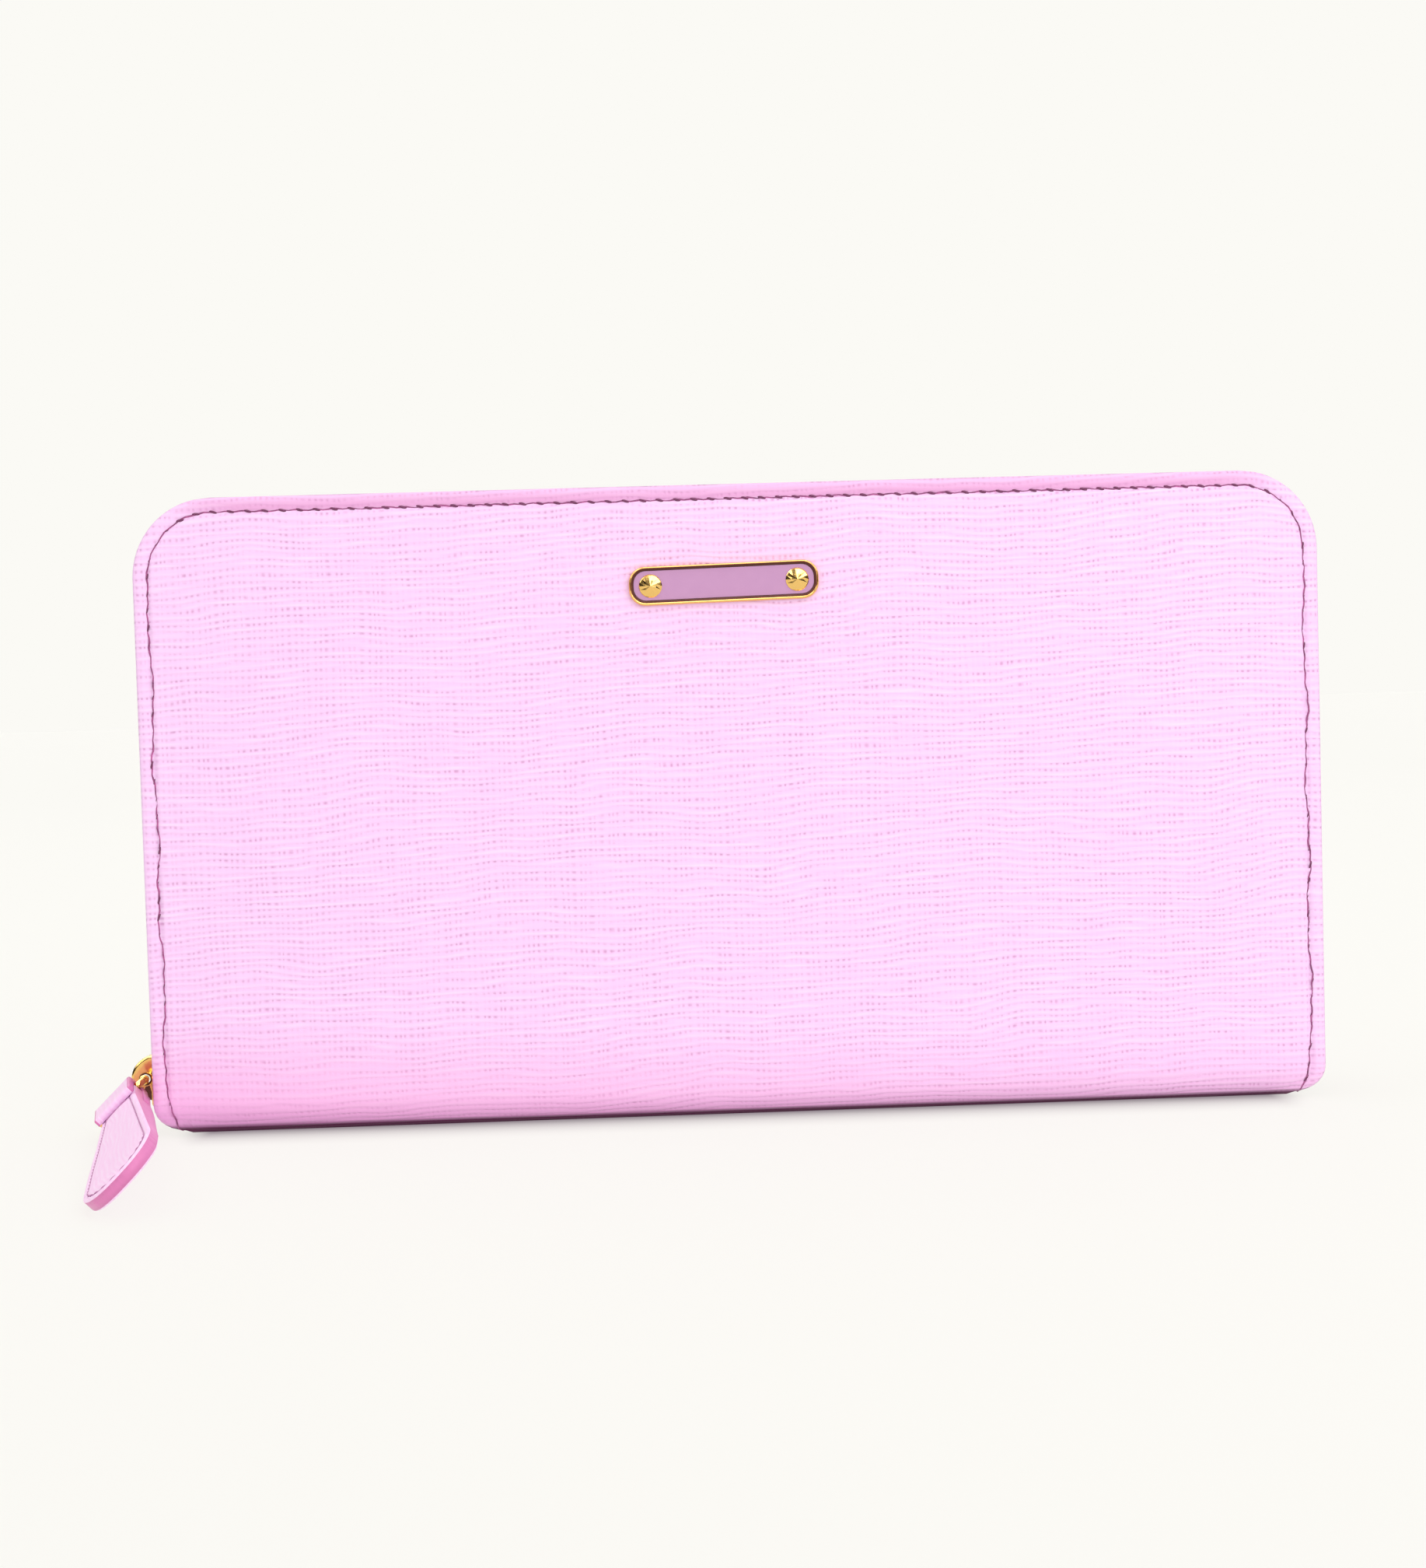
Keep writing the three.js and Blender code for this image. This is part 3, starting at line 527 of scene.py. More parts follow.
# A dark brown used as painted shade: on the lug's lower part, in a ring round the eye and on the plaque's inner wall.
PAINTED_SHADE = enamel("painted_shade_dark", (0.11, 0.022, 0.010), (0.05, 0.010, 0.006), 0.55, 0.0)
SEAM_THREAD = thread("seam_thread", (0.66, 0.30, 0.55), (0.52, 0.19, 0.42))
PALE_THREAD = thread("pale_thread", (0.80, 0.38, 0.68), (0.62, 0.22, 0.5))
LINING = woven("lining_weave", (0.62, 0.28, 0.50), (0.42, 0.15, 0.34), 0.5)
TAPE = woven("tape_weave", (0.80, 0.36, 0.66), (0.58, 0.18, 0.44), 0.62, 0.00016)
GOLD = polished_gold("gold_plate", (0.95, 0.60, 0.19), 0.12, 0.08)
TOOTH_GOLD = polished_gold("tooth_gold", (0.86, 0.58, 0.22), 0.24)
INLAY = enamel("inlay_enamel", (0.62, 0.33, 0.58), (0.52, 0.26, 0.5))
BOARD = pressed_board("pressed_board", (0.45, 0.34, 0.27), (0.3, 0.21, 0.16))


# ---- the leather wrap ----
CROWN = 0.75
CROWN_REACH = 11.0
VALLEY = 0.38


def section(length):
    """The wrap's place and outward direction in (depth, height) at a length from the middle of the base."""
    if length <= FLAT:
        return length, 0.0, 0.0, -1.0
    if length <= FLAT + FOLD:
        angle = (length - FLAT) / SPINE_RADIUS
        return (FLAT + SPINE_RADIUS * sin(angle), SPINE_RADIUS * (1 - cos(angle)),
                sin(angle), -cos(angle))
    return HALF_DEPTH, SPINE_RADIUS + length - FLAT - FOLD, 1.0, 0.0


def half_width_at(z):
    if z > HEIGHT - TOP_RADIUS:
        rise = min(z - HEIGHT + TOP_RADIUS, TOP_RADIUS)
        return HALF_WIDTH - TOP_RADIUS + sqrt(TOP_RADIUS ** 2 - rise ** 2)
    if z < BASE_RADIUS:
        return HALF_WIDTH - BASE_RADIUS + sqrt(max(BASE_RADIUS ** 2 - (BASE_RADIUS - z) ** 2, 0.0))
    return HALF_WIDTH


def inset_of(x, z):
    """How far inside the front outline a point is. The base has no edge, because the leather folds there."""
    x = abs(x)
    corner_x, corner_z = HALF_WIDTH - TOP_RADIUS, HEIGHT - TOP_RADIUS
    if x > corner_x and z > corner_z:
        return TOP_RADIUS - hypot(x - corner_x, z - corner_z)
    low_x = HALF_WIDTH - BASE_RADIUS
    if x > low_x and z < BASE_RADIUS:
        return BASE_RADIUS - hypot(x - low_x, z - BASE_RADIUS)
    return min(HALF_WIDTH - x, HEIGHT - z)


def relief(x, z, length):
    """How far the leather stands proud of the plain sheet."""
    d = max(inset_of(x, z), 0.0)
    fade = smooth_step((length - FLAT) / (FOLD + 10.0))
    rounding = -0.42 * (1 - smooth_step(d / 0.8))
    valley = -VALLEY * bell(d - STITCH_INSET, 0.42) * smooth_step((length - FLAT) / FOLD)
    crown = CROWN * (1 - exp(-max(d - STITCH_INSET, 0.0) / CROWN_REACH)) * fade
    lip = 0.12 * bell(d - STITCH_INSET - 1.0, 0.7)
    undulation = 0.10 * sin(x * 0.045 + 1.3) * sin(z * 0.07 + 0.4) * fade
    return rounding + valley + crown + lip + undulation


def on_wrap(x, length, sign):
    """A point on the wrap's outside, on one side of the wallet."""
    depth, z, out_depth, out_z = section(length)
    rise = relief(x, z, length)
    return Vector((x, sign * (depth + out_depth * rise), z + out_z * rise))


def wrap(side, sign):
    """sign is -1 for the front and 1 for the back."""
    lengths = spread(0.0, SHEET_LENGTH, 1.1, 0.3, 5.0)
    shares = spread(-1.0, 1.0, 0.0125, 0.0032, 0.05)
    verts, uvs = [], []
    for length in lengths:
        half = half_width_at(section(length)[1])
        for share in shares:
            point = on_wrap(share * half, length, sign)
            verts.append((point.x, point.y, max(point.z, 0.02)))
            uvs.append((share * half, length))
    faces = grid_faces(len(lengths), len(shares), order=(0, 1, 2, 3) if sign < 0 else (3, 2, 1, 0))
    obj = make_object(side + "_wrap", verts, faces, [SKIN, SKIN_INSIDE, SKIN_EDGE], uvs)
    thickened(obj, LEATHER - 0.1, -1, use_even_offset=False, material_offset=1, material_offset_rim=2)
    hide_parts(side + "_leather", "spine_leather")
    return blended(obj)


def blended(obj):
    """Bakes a piece's place into its mesh."""
    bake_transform(obj)
    return obj


def outline_path(inset, base, step=0.8):
    """The front outline drawn in by an inset, from the lower left round to the lower right, as (x, z)."""
    low_radius, radius = BASE_RADIUS - inset, TOP_RADIUS - inset
    if base < BASE_RADIUS and low_radius > 0:
        reach = asin(min((BASE_RADIUS - base) / low_radius, 1.0))
        points = arc((BASE_RADIUS - HALF_WIDTH, BASE_RADIUS), low_radius, pi + reach, -reach, 6)
    else:
        points = [(inset - HALF_WIDTH, base)]
    low, high, flat = points[-1][1], HEIGHT - TOP_RADIUS, HALF_WIDTH - TOP_RADIUS
    count = round((high - low) / step)
    points += [(inset - HALF_WIDTH, low + (high - low) * i / count) for i in range(1, count)]
    points += arc((-flat, high), radius, pi, -pi / 2, 16)
    count = round(flat / step)
    points += [(x * flat / count, HEIGHT - inset) for x in range(-count + 1, 1)]
    return points + [(-x, z) for x, z in reversed(points[:-1])]


def wrap_stitching(side, sign):
    """The seam round three sides of a panel: a dash in every stitch's place, over a wavering strand."""
    straight = 9.0
    tail = [0.5 + 0.8 * k for k in range(11)]
    tail = [(-HALF_WIDTH + STITCH_INSET + 1.9 * (1 - z / straight) ** 2, z) for z in tail]
    line = tail + outline_path(STITCH_INSET, straight) + [(-x, z) for x, z in reversed(tail)]
    path = []
    for i, (x, z) in enumerate(line):
        stray = 0.3 * sin(i * 0.21 + 1.0) + 0.12 * sin(i * 0.55)
        flank = smooth_step((HEIGHT - TOP_RADIUS - z) / 8.0) * smooth_step(z / 6.0)
        turn = acos(min(max(1 - z / SPINE_RADIUS, -1.0), 1.0))
        length = FLAT + SPINE_RADIUS * turn if z < SPINE_RADIUS else FLAT + FOLD + z - SPINE_RADIUS
        path.append(on_wrap(x + stray * flank, length, sign))

    def weight(tangent):
        return 1.0 if abs(tangent.x) > 0.8 else random.choice((0.15, 0.3, 0.5, 0.8))

    def drawn(share):
        return 0.13 + 0.04 * sin(share * 331) * sin(share * 97)

    dashes = stitches(side + "_dashes", path, lambda point: Vector((0, sign, 0)), THREAD, length=1.6,
                      radius=0.21, slant=18 * sign, weight=weight)
    wavy = []
    for i, point in enumerate(path):
        before, after = path[max(i - 1, 0)], path[min(i + 1, len(path) - 1)]
        across = (after - before).cross(Vector((0, 1, 0))).normalized()
        stray = 0.11 * sin(i * 1.7) + 0.06 * sin(i * 0.61)
        wavy.append(point + across * stray + Vector((0, sign * 0.03, 0)))
    strand = tube(side + "_strand", wavy, drawn, STRAND, sides=8)
    obj = merged(side + "_stitching", [dashes, strand])
    return blended(obj)


# ---- the outer zip ----
TAPE_LOW, TAPE_HIGH, _ = box_mm("front_zip_tape")
CHAIN_LOW = box_mm("front_zip_chain")[0]
TAPE_INSET = TAPE_LOW.x + HALF_WIDTH
TOOTH_PITCH = 2.3
TOOTH_HALF = 1.15
TOOTH_RIM = 0.72
TOOTH_MIDDLE = 1.5
CHAIN_INSET = TAPE_INSET + 0.25


def inward(path, i):
    """The direction in the front plane from the outline towards the middle of the wallet."""
    before, after = path[max(i - 1, 0)], path[min(i + 1, len(path) - 1)]
    dx, dz = after[0] - before[0], after[1] - before[1]
    size = hypot(dx, dz)
    return dz / size, -dx / size


def zip_tape(side, sign):
    """A woven tape with a rolled cord along its toothed edge."""
    path = outline_path(CHAIN_INSET, 4.6, 1.6)
    edge, seam = -TAPE_HIGH.y - 0.5, -TAPE_LOW.y
    steps = 9
    front = [(edge + 0.6 + (seam - edge - 0.6) * k / steps, -0.24 + 0.32 * sin(pi * k / steps))
             for k in range(steps + 1)]
    cord = [(edge + 0.35 * a, 0.5 * b) for a, b in arc((0, 0), 1, pi / 4, pi * 1.5, 8)]
    profile = front[::-1] + cord[::-1] + [(d, t + 0.46) for d, t in front]
    verts, uvs = [], []
    length = 0.0
    for i, (x, z) in enumerate(path):
        nx, nz = inward(path, i)
        if i:
            length += hypot(x - path[i - 1][0], z - path[i - 1][1])
        verts += [(x + nx * t, sign * d, z + nz * t) for d, t in profile]
        uvs += [(length, d) for d, t in profile]
    obj = outward(make_object(side + "_woven_tape", verts, loft_faces(len(path), len(profile)), [TAPE], uvs))
    return settled(obj, "zip_tape", side + "_cover", side + "_zip_tape")


# Half of a tooth's outline, as (depth from the middle of the zip, half width along the zip).
TOOTH_PROFILE = [(-0.45, 0.22), (-0.15, 0.48), (0.35, 0.56), (0.9, 0.42), (1.5, 0.44), (1.9, 0.66), (3.3, 0.66),
                 (3.5, 0.5)]


def teeth(name, places, half_thickness):
    """A row of metal teeth. Each is its outline swept through its thickness, with a rounded rim, and its own
    place(d, w, t) gives the point at a depth, a distance along the zip and a share of the thickness."""
    outline = TOOTH_PROFILE + [(d, -w) for d, w in reversed(TOOTH_PROFILE)]
    layers = [(-half_thickness, TOOTH_RIM), (-half_thickness * 0.7, 1.0), (half_thickness * 0.7, 1.0),
              (half_thickness, TOOTH_RIM)]
    verts, faces = [], []
    for place in places:
        faces += loft_faces(len(layers), len(outline), first=len(verts))
        for t, scale in layers:
            verts += [place(TOOTH_MIDDLE + (d - TOOTH_MIDDLE) * (0.9 + 0.1 * scale), w * scale, t)
                      for d, w in outline]
    return outward(make_object(name, verts, faces, [TOOTH_GOLD], smooth=False))


def zip_teeth(side, sign):
    def tooth_at(point, tangent):
        normal = Vector((tangent.z, 0, -tangent.x))
        return lambda d, w, t: point + Vector((0, sign * d, 0)) + tangent * w + normal * t

    path = [Vector((x, 0, z)) for x, z in outline_path(CHAIN_INSET, CHAIN_LOW.z)]
    start = 1.0 if sign < 0 else 1.0 + TOOTH_PITCH / 2
    places = [tooth_at(point, tangent) for point, tangent in along(path, TOOTH_PITCH, start)]
    return settled(teeth(side + "_teeth", places, TOOTH_HALF), "zip_teeth", side + "_cover", side + "_zip_chain")


def zip_end_stop(side):
    low, high, middle = box_mm(side + "_zip_stop")

    outline = rounded_outline(high.y - low.y, high.z - low.z, 0.5)
    obj = extruded(side + "_end_stop", outline, lambda a, b, t: (low.x + t, middle.y + a, middle.z + b),
                   high.x - low.x, [GOLD], 0.3)
    return settled(obj, "gold_hardware", side + "_cover", side + "_zip_stop")


# ---- the slider ----
SLIDER_LOW, SLIDER_HIGH, _ = box_mm("slider_body")
SWING = Vector(JOINTS["loop_swing"]["pos_m"]) / MM
SLIDER_Z = SWING.z
EYE_STANDOFF = 1.6
EYE_RADIUS = 0.76
# How far below the eye the lug's painted shade begins.
SHADE_DROP = 1.7


def shield_outline(length, wide, narrow, steps=8):
    """A slider plate: wide at its mouth (-) and drawn in to its tail (+), as (across, along)."""
    mouth, shoulder, tail = 1.1, 2.6, 1.6
    half = length / 2
    shares = [k / steps for k in range(steps + 1)]
    quarter = [t * pi / 2 for t in shares]
    points = [(wide * sin(a), -half + mouth * (1 - cos(a))) for a in quarter]
    points.append((wide, -half + shoulder))
    points += [(wide + (narrow - wide) * smooth_step(t), -half + shoulder + (length - shoulder - tail) * t)
               for t in shares[1:]]
    points += [(narrow * cos(a), half - tail + tail * sin(a)) for a in quarter]
    return points + [(-a, b) for a, b in reversed(points[1:-1])]


def slider():
    """The slider's two plates, their flanges, the divider between them, and the lug that carries the loop."""
    wide = SLIDER_HIGH.y
    length = SLIDER_HIGH.z - SLIDER_LOW.z
    outer_top = SWING.x + EYE_STANDOFF
    plate = 0.95
    inner_top = SLIDER_HIGH.x
    outline = shield_outline(length, wide, wide * 0.78)

    def plate_at(x):
        return lambda a, b, t: (x + t, a, SLIDER_Z + b)

    pieces = [extruded("outer_plate", outline, plate_at(outer_top), plate, [GOLD], 0.3),
              extruded("inner_plate", outline, plate_at(inner_top - plate), plate, [GOLD], 0.3)]
    mouth, shoulder, tail = -length / 2 + 1.2, -length / 2 + 2.8, length / 2 - 1.6
    flange = [(0.99, mouth), (0.99, shoulder), (0.8, tail), (0.68, tail), (0.86, shoulder), (0.86, mouth)]
    for side in (-wide, wide):
        rim = [(side * share, b) for share, b in flange]
        for low in (outer_top + 0.5, inner_top - 1.45):
            pieces.append(extruded("flange", rim, plate_at(low), 0.95, [GOLD], 0.15))
    # The divider stands on both plates and leaves the teeth their room.
    divider = [(0.0, -length / 2 + 4.2), (-0.6, -length / 2 + 2.0), (-0.5, -length / 2 + 0.4),
               (0.5, -length / 2 + 0.4), (0.6, -length / 2 + 2.0)]
    chain, room = CHAIN_INSET - HALF_WIDTH, TOOTH_HALF + 0.1
    for low, high in ((outer_top + 0.3, chain - room), (chain + room, inner_top - 0.3)):
        pieces.append(extruded("divider", divider, plate_at(low), high - low, [GOLD], 0.1))
    pieces.append(lug(outer_top + 0.8))
    # A dark ring round the eye stands in as painted shade in the eye's recess.
    eye = [(x, -0.72, z) for x, z in arc((SWING.x, SLIDER_Z), 0.98, 0, 2 * pi, 32)[:-1]]
    pieces.append(tube("eye_ring", eye, 0.17, PAINTED_SHADE, closed=True))
    obj = merged("slider_casting", pieces)
    return settled(obj, "gold_hardware", "zip_slider", "slider_body")


def lug(base):
    """The domed lug on the outer plate, pierced by the eye the loop passes through."""
    rise = base - SLIDER_LOW.x
    above, below = 4.2, 3.9
    half_width = 0.85
    rim = [(base - rise * sin(pi * k / 32),
            SLIDER_Z + (above if k < 16 else below) * cos(pi * k / 32)) for k in range(33)]
    eye = arc((SWING.x, SLIDER_Z), EYE_RADIUS, 0, 2 * pi, 24)[:-1]

    obj = pierced_plate("lug", rim, eye, lambda a, b, t: (a, t - half_width, b), 2 * half_width, 0.6, 6)
    obj.data.materials.append(PAINTED_SHADE)
    # Below that, the lug takes the dark brown as painted shade, where it lies in the gap behind the pull.
    for polygon in obj.data.polygons:
        if polygon.center.z / MM < SLIDER_Z - SHADE_DROP:
            polygon.material_index = 1
    return obj


def merged(name, objects):
    """Joins objects into one piece."""
    work = bmesh.new()
    materials = []
    for obj in objects:
        materials += [material for material in obj.data.materials if material not in materials]
        before = len(work.faces)
        work.from_mesh(obj.data)
        work.faces.ensure_lookup_table()
        for face in work.faces[before:]:
            face.material_index = materials.index(obj.data.materials[face.material_index])
    mesh = bpy.data.meshes.new(name)
    work.to_mesh(mesh)
    work.free()
    for material in materials:
        mesh.materials.append(material)
    for obj in objects:
        bpy.data.objects.remove(obj)
    return linked(name, mesh)


# ---- the loop and the leather pull ----
ACROSS = Vector(JOINTS["pull_swing"]["axis"]).normalized()
LOOP_FORWARD = -Vector(JOINTS["loop_swing"]["axis"]).normalized()
PULL_ORIGIN = Vector(JOINTS["pull_swing"]["pos_m"]) / MM
PULL_DIP = 0.143
PULL_ALONG = Matrix.Rotation(-PULL_DIP, 3, ACROSS) @ LOOP_FORWARD
PULL_WIDTH = -ACROSS
PULL_FACE = PULL_ALONG.cross(PULL_WIDTH)
PULL_START = 1.75
PULL_FLARE = 56.0
PULL_ARCH = 9.6
PULL_FULLNESS = 0.8
PULL_HALF = 6.8
PULL_HEAD = 3.8
PULL_THICKNESS = 2.0
HEADER_REACH = 9.8
HEADER_HALF = 4.1
SEAM_INSET = 1.1
BEAD = 0.84
BEAD_PLACE = 4.6
LOOP_WIDTH, LOOP_LENGTH, LOOP_NEAR, LOOP_WIRE, LOOP_RADIUS = 9.6, 10.2, 2.0, 1.2, 1.2


def pull_point(a, b, t):
    return PULL_ORIGIN + PULL_ALONG * a + PULL_WIDTH * b + PULL_FACE * t


def loop():
    corners = [(0, -LOOP_NEAR), (LOOP_WIDTH, -LOOP_NEAR), (LOOP_WIDTH, LOOP_LENGTH - LOOP_NEAR),
               (0, LOOP_LENGTH - LOOP_NEAR)]
    points = []
    for i, (x, y) in enumerate(corners):
        centre = (x + copysign(LOOP_RADIUS, 1 - x), y + copysign(LOOP_RADIUS, -y))
        bend = arc(centre, LOOP_RADIUS, pi + i * pi / 2, pi / 2, 8)
        points += [SWING + ACROSS * a + LOOP_FORWARD * b for a, b in bend]
    wire = tube("wire", points, LOOP_WIRE / 2, GOLD, closed=True, sides=20)
    bead = [SWING + LOOP_FORWARD * (BEAD_PLACE - BEAD * cos(pi * k / 12)) for k in range(1, 12)]
    swell = tube("bead", bead, lambda share: BEAD * sin(pi * (1 + share * 10) / 12), GOLD, sides=24)
    obj = merged("loop_wire", [wire, swell])
    return settled(obj, "gold_hardware", "loop", "pull_loop")


def pull_half_width(a):
    """Half the pull's width at a length along it: a head under the header, a long flare and an arched end."""
    if a <= HEADER_REACH:
        return PULL_HEAD
    if a <= PULL_FLARE:
        return PULL_HEAD + (PULL_HALF - PULL_HEAD) * (a - HEADER_REACH) / (PULL_FLARE - HEADER_REACH)
    share = min((a - PULL_FLARE) / PULL_ARCH, 1.0)
    return PULL_HALF * sqrt(1 - share ** 2) ** PULL_FULLNESS


def pull_edge_distance(a, b):
    """How far inside the pull's outline a point is."""
    if a <= PULL_FLARE:
        return pull_half_width(a) - abs(b)
    power = 2 / PULL_FULLNESS
    along_share, across_share = (a - PULL_FLARE) / PULL_ARCH, abs(b) / PULL_HALF
    inside = 1 - along_share ** 2 - across_share ** power
    slope = hypot(2 * along_share / PULL_ARCH, power * across_share ** (power - 1) / PULL_HALF)
    return inside / max(slope, 0.12)


def pull_relief(a, b):
    d = max(pull_edge_distance(a, b), 0.0)
    groove = -0.16 * bell(d - SEAM_INSET, 0.2)
    rounding = -0.3 * (1 - smooth_step(d / 0.4))
    crown = 0.12 * smooth_step((d - SEAM_INSET) / 2.0)
    return groove + rounding + crown - 0.12


def pull_surface(a, b, face_sign):
    """The height of the face (1) or the back (-1). The back is thicker near the head, where the header's tail lies
    between the layers, and both swell at the end."""
    if face_sign > 0:
        layer = 0.2 * smooth_step((a - 20.0) / 30.0)
    else:
        layer = 2.2 * (1 - smooth_step((a - HEADER_REACH) / 56.0)) + 0.35 * smooth_step((a - 57.0) / 5.0)
    return face_sign * (PULL_THICKNESS / 2 + pull_relief(a, b) + layer)


def pull_body():
    rows = spread(PULL_START, PULL_FLARE, 0.8, 0.4, 2.0)
    rows += [PULL_FLARE + PULL_ARCH * sin(k / 40 * pi / 2) for k in range(1, 41)]
    shares = spread(-1.0, 1.0, 0.06, 0.02, 0.36)
    verts, uvs = [], []
    columns = len(shares)
    for face_sign in (1, -1):
        for a in rows:
            half = max(pull_half_width(a), 0.02)
            for share in shares:
                b = share * half
                verts.append(pull_point(a, b, pull_surface(a, b, face_sign)))
                uvs.append((a, b))
    sheet = len(rows) * columns
    faces = grid_faces(len(rows), columns, 0, (0, 3, 2, 1)) + grid_faces(len(rows), columns, sheet, (1, 2, 3, 0))
    skin_count = len(faces)
    rim = [i * columns for i in range(len(rows))]
    rim += [(len(rows) - 1) * columns + j for j in range(1, columns)]
    rim += [i * columns + columns - 1 for i in reversed(range(len(rows) - 1))]
    rim += list(reversed(range(1, columns - 1)))
    for i, p in enumerate(rim):
        q = rim[(i + 1) % len(rim)]
        faces.append((p, q, q + sheet, p + sheet))
    obj = make_object("pull_body", verts, faces, [PULL_SKIN, PULL_EDGE], uvs)
    for polygon in obj.data.polygons[skin_count:]:
        polygon.material_index = 1
        polygon.use_smooth = True
    outward(obj)
    return settled(obj, "pull_leather", "leather_pull", "pull_face", "pull_core", "pull_back")


def pull_seam(face_sign):
    """A thin seam just inside the pull's edge, closed across the header's end."""
    start = HEADER_REACH + 0.5
    side = []
    for k in range(41):
        a = start + (PULL_FLARE - start) * k / 40
        side.append((a, pull_half_width(a) - SEAM_INSET))
    for b, a in arc((0, 0), 1, 0, pi / 2, 20)[1:]:
        side.append((PULL_FLARE + (PULL_ARCH - SEAM_INSET) * a,
                     (PULL_HALF - SEAM_INSET) * max(b, 0.0) ** PULL_FULLNESS))
    path = side + [(a, -b) for a, b in reversed(side[:-1])]
    path += [(start, -side[0][1] + (2 * side[0][1]) * k / 8) for k in range(1, 9)]
    points = [pull_point(a, b, pull_surface(a, b, face_sign)) for a, b in path]
    name = "pull_seam_face" if face_sign > 0 else "pull_seam_back"
    sewn = stitches(name, points, lambda p: PULL_FACE * face_sign, SEAM_THREAD, 1.9, 1.6, 0.11, 5, 0.05)
    strand = tube(name + "_strand", points, 0.07, SEAM_THREAD, sides=8)
    obj = merged(name, [sewn, strand])
    return settled(obj, "pull_leather", "leather_pull")


def pull_header():
    """The strip folded round the loop's bar, stitched through the pull."""
    inner = PULL_THICKNESS / 2 + 0.05
    outer = inner + 1.15
    back = 0.35
    reach = HEADER_REACH
    hole = LOOP_WIRE / 2 + 0.2
    lines = (8.2, 6.4, 4.6, 2.8, 1.2)
    profile = [(reach, inner), (reach, outer - 0.2), (reach - 0.2, outer)]
    profile += [(x, outer) for x in lines]
    profile += arc((0, 0), outer, pi / 2, pi, 14)
    profile += [(x, -outer) for x in reversed(lines)]
    profile += [(reach - 0.2, -outer), (reach, -outer + 0.2), (reach, -inner), (0.7, -inner)]
    profile += arc((0, 0), hole, -pi / 3, -pi * 4 / 3, 10) + [(0.7, inner)]
    half = HEADER_HALF - 0.15
    slices = [(-half, 0.12), (-half + 0.12, 0.03), (-half + 0.35, 0.0)]
    slices += [(-half + 0.5 + (2 * half - 1) * k / 12, 0.0) for k in range(1, 12)]
    slices += [(half - 0.35, 0.0), (half - 0.12, 0.03), (half, 0.12)]
    verts, uvs = [], []
    for b, shrink in slices:
        for a, t in profile:
            scale = 1 - shrink * 0.5
            if t < 0:
                scale += back * smooth_step((a + 0.5) / 7.0) / outer
            verts.append(pull_point(a * (1 - shrink * 0.06), b, t * scale))
            uvs.append((a + t, b))
    count = len(profile)
    faces = loft_faces(len(slices), count)
    sides = len(faces) - 2
    obj = make_object("header_strip", verts, faces, [PULL_SKIN, PULL_EDGE], uvs)
    for i, polygon in enumerate(obj.data.polygons):
        if i < 2 * count or i >= sides - 2 * count:
            polygon.material_index = 1
    outward(obj)
    return settled(obj, "pull_leather", "leather_pull", "pull_header")


# ---- the plaque ----
BADGE_LOW, BADGE_HIGH, BADGE_CENTRE = box_mm("badge_frame")
BADGE_BACK = -HALF_DEPTH - CROWN * 0.75
BADGE_RIM = 0.74
BADGE_RADIUS = 2.7
BADGE_TILT = 1.1
BADGE_LIFT = 0.07


def on_badge(x, z):
    """A place on the plaque, which is riveted on a little askew."""
    turn = radians(BADGE_TILT)
    return (BADGE_CENTRE.x + x * cos(turn) - z * sin(turn),
            BADGE_CENTRE.z + x * sin(turn) + z * cos(turn))


def badge_outline(inset, lift=0.0):
    width = BADGE_HIGH.x - BADGE_LOW.x - 2 * inset
    height = BADGE_HIGH.z - BADGE_LOW.z - 2 * inset
    outline = rounded_outline(width, height, BADGE_RADIUS - 0.85 * inset, 8)
    return [on_badge(x, z + lift) for x, z in outline]


def badge_frame():
    """A polished rim with a rounded crest and a stepped inner wall; the inner slope and wall are dark brown as
    painted shade.
    """
    layers = [(0.0, 0.0), (0.0, 0.6), (0.04, 0.78), (0.11, 0.93), (0.2, 1.02), (0.28, 1.02), (0.35, 0.93),
              (0.4, 0.78), (0.44, 0.6), (0.54, 0.52), (BADGE_RIM - 0.03, 0.48), (BADGE_RIM, 0.42), (BADGE_RIM, 0.0)]
    groove = 7
    verts = []
    for inset, rise in layers:
        lift = BADGE_LIFT * smooth_step((inset - 0.1) / 0.25)
        verts += [(x, BADGE_BACK - rise, z) for x, z in badge_outline(inset, lift)]
    count = len(verts) // len(layers)
    obj = make_object("badge_rim", verts, loft_faces(len(layers), count, closed=True), [GOLD, PAINTED_SHADE])
    # From the groove layer inwards the rim takes the dark brown as painted shade.
    for polygon in obj.data.polygons[groove * count:]:
        polygon.material_index = 1
    outward(obj)
    return settled(obj, "gold_hardware", "front_cover", "badge_frame")


def badge_inlay():
    obj = extruded("badge_enamel", badge_outline(BADGE_RIM + 0.04, BADGE_LIFT),
                   lambda a, b, t: (a, BADGE_BACK + 0.1 - t, b), 0.55, [INLAY], 0.08)
    return settled(obj, "inlay", "front_cover", "badge_inlay")


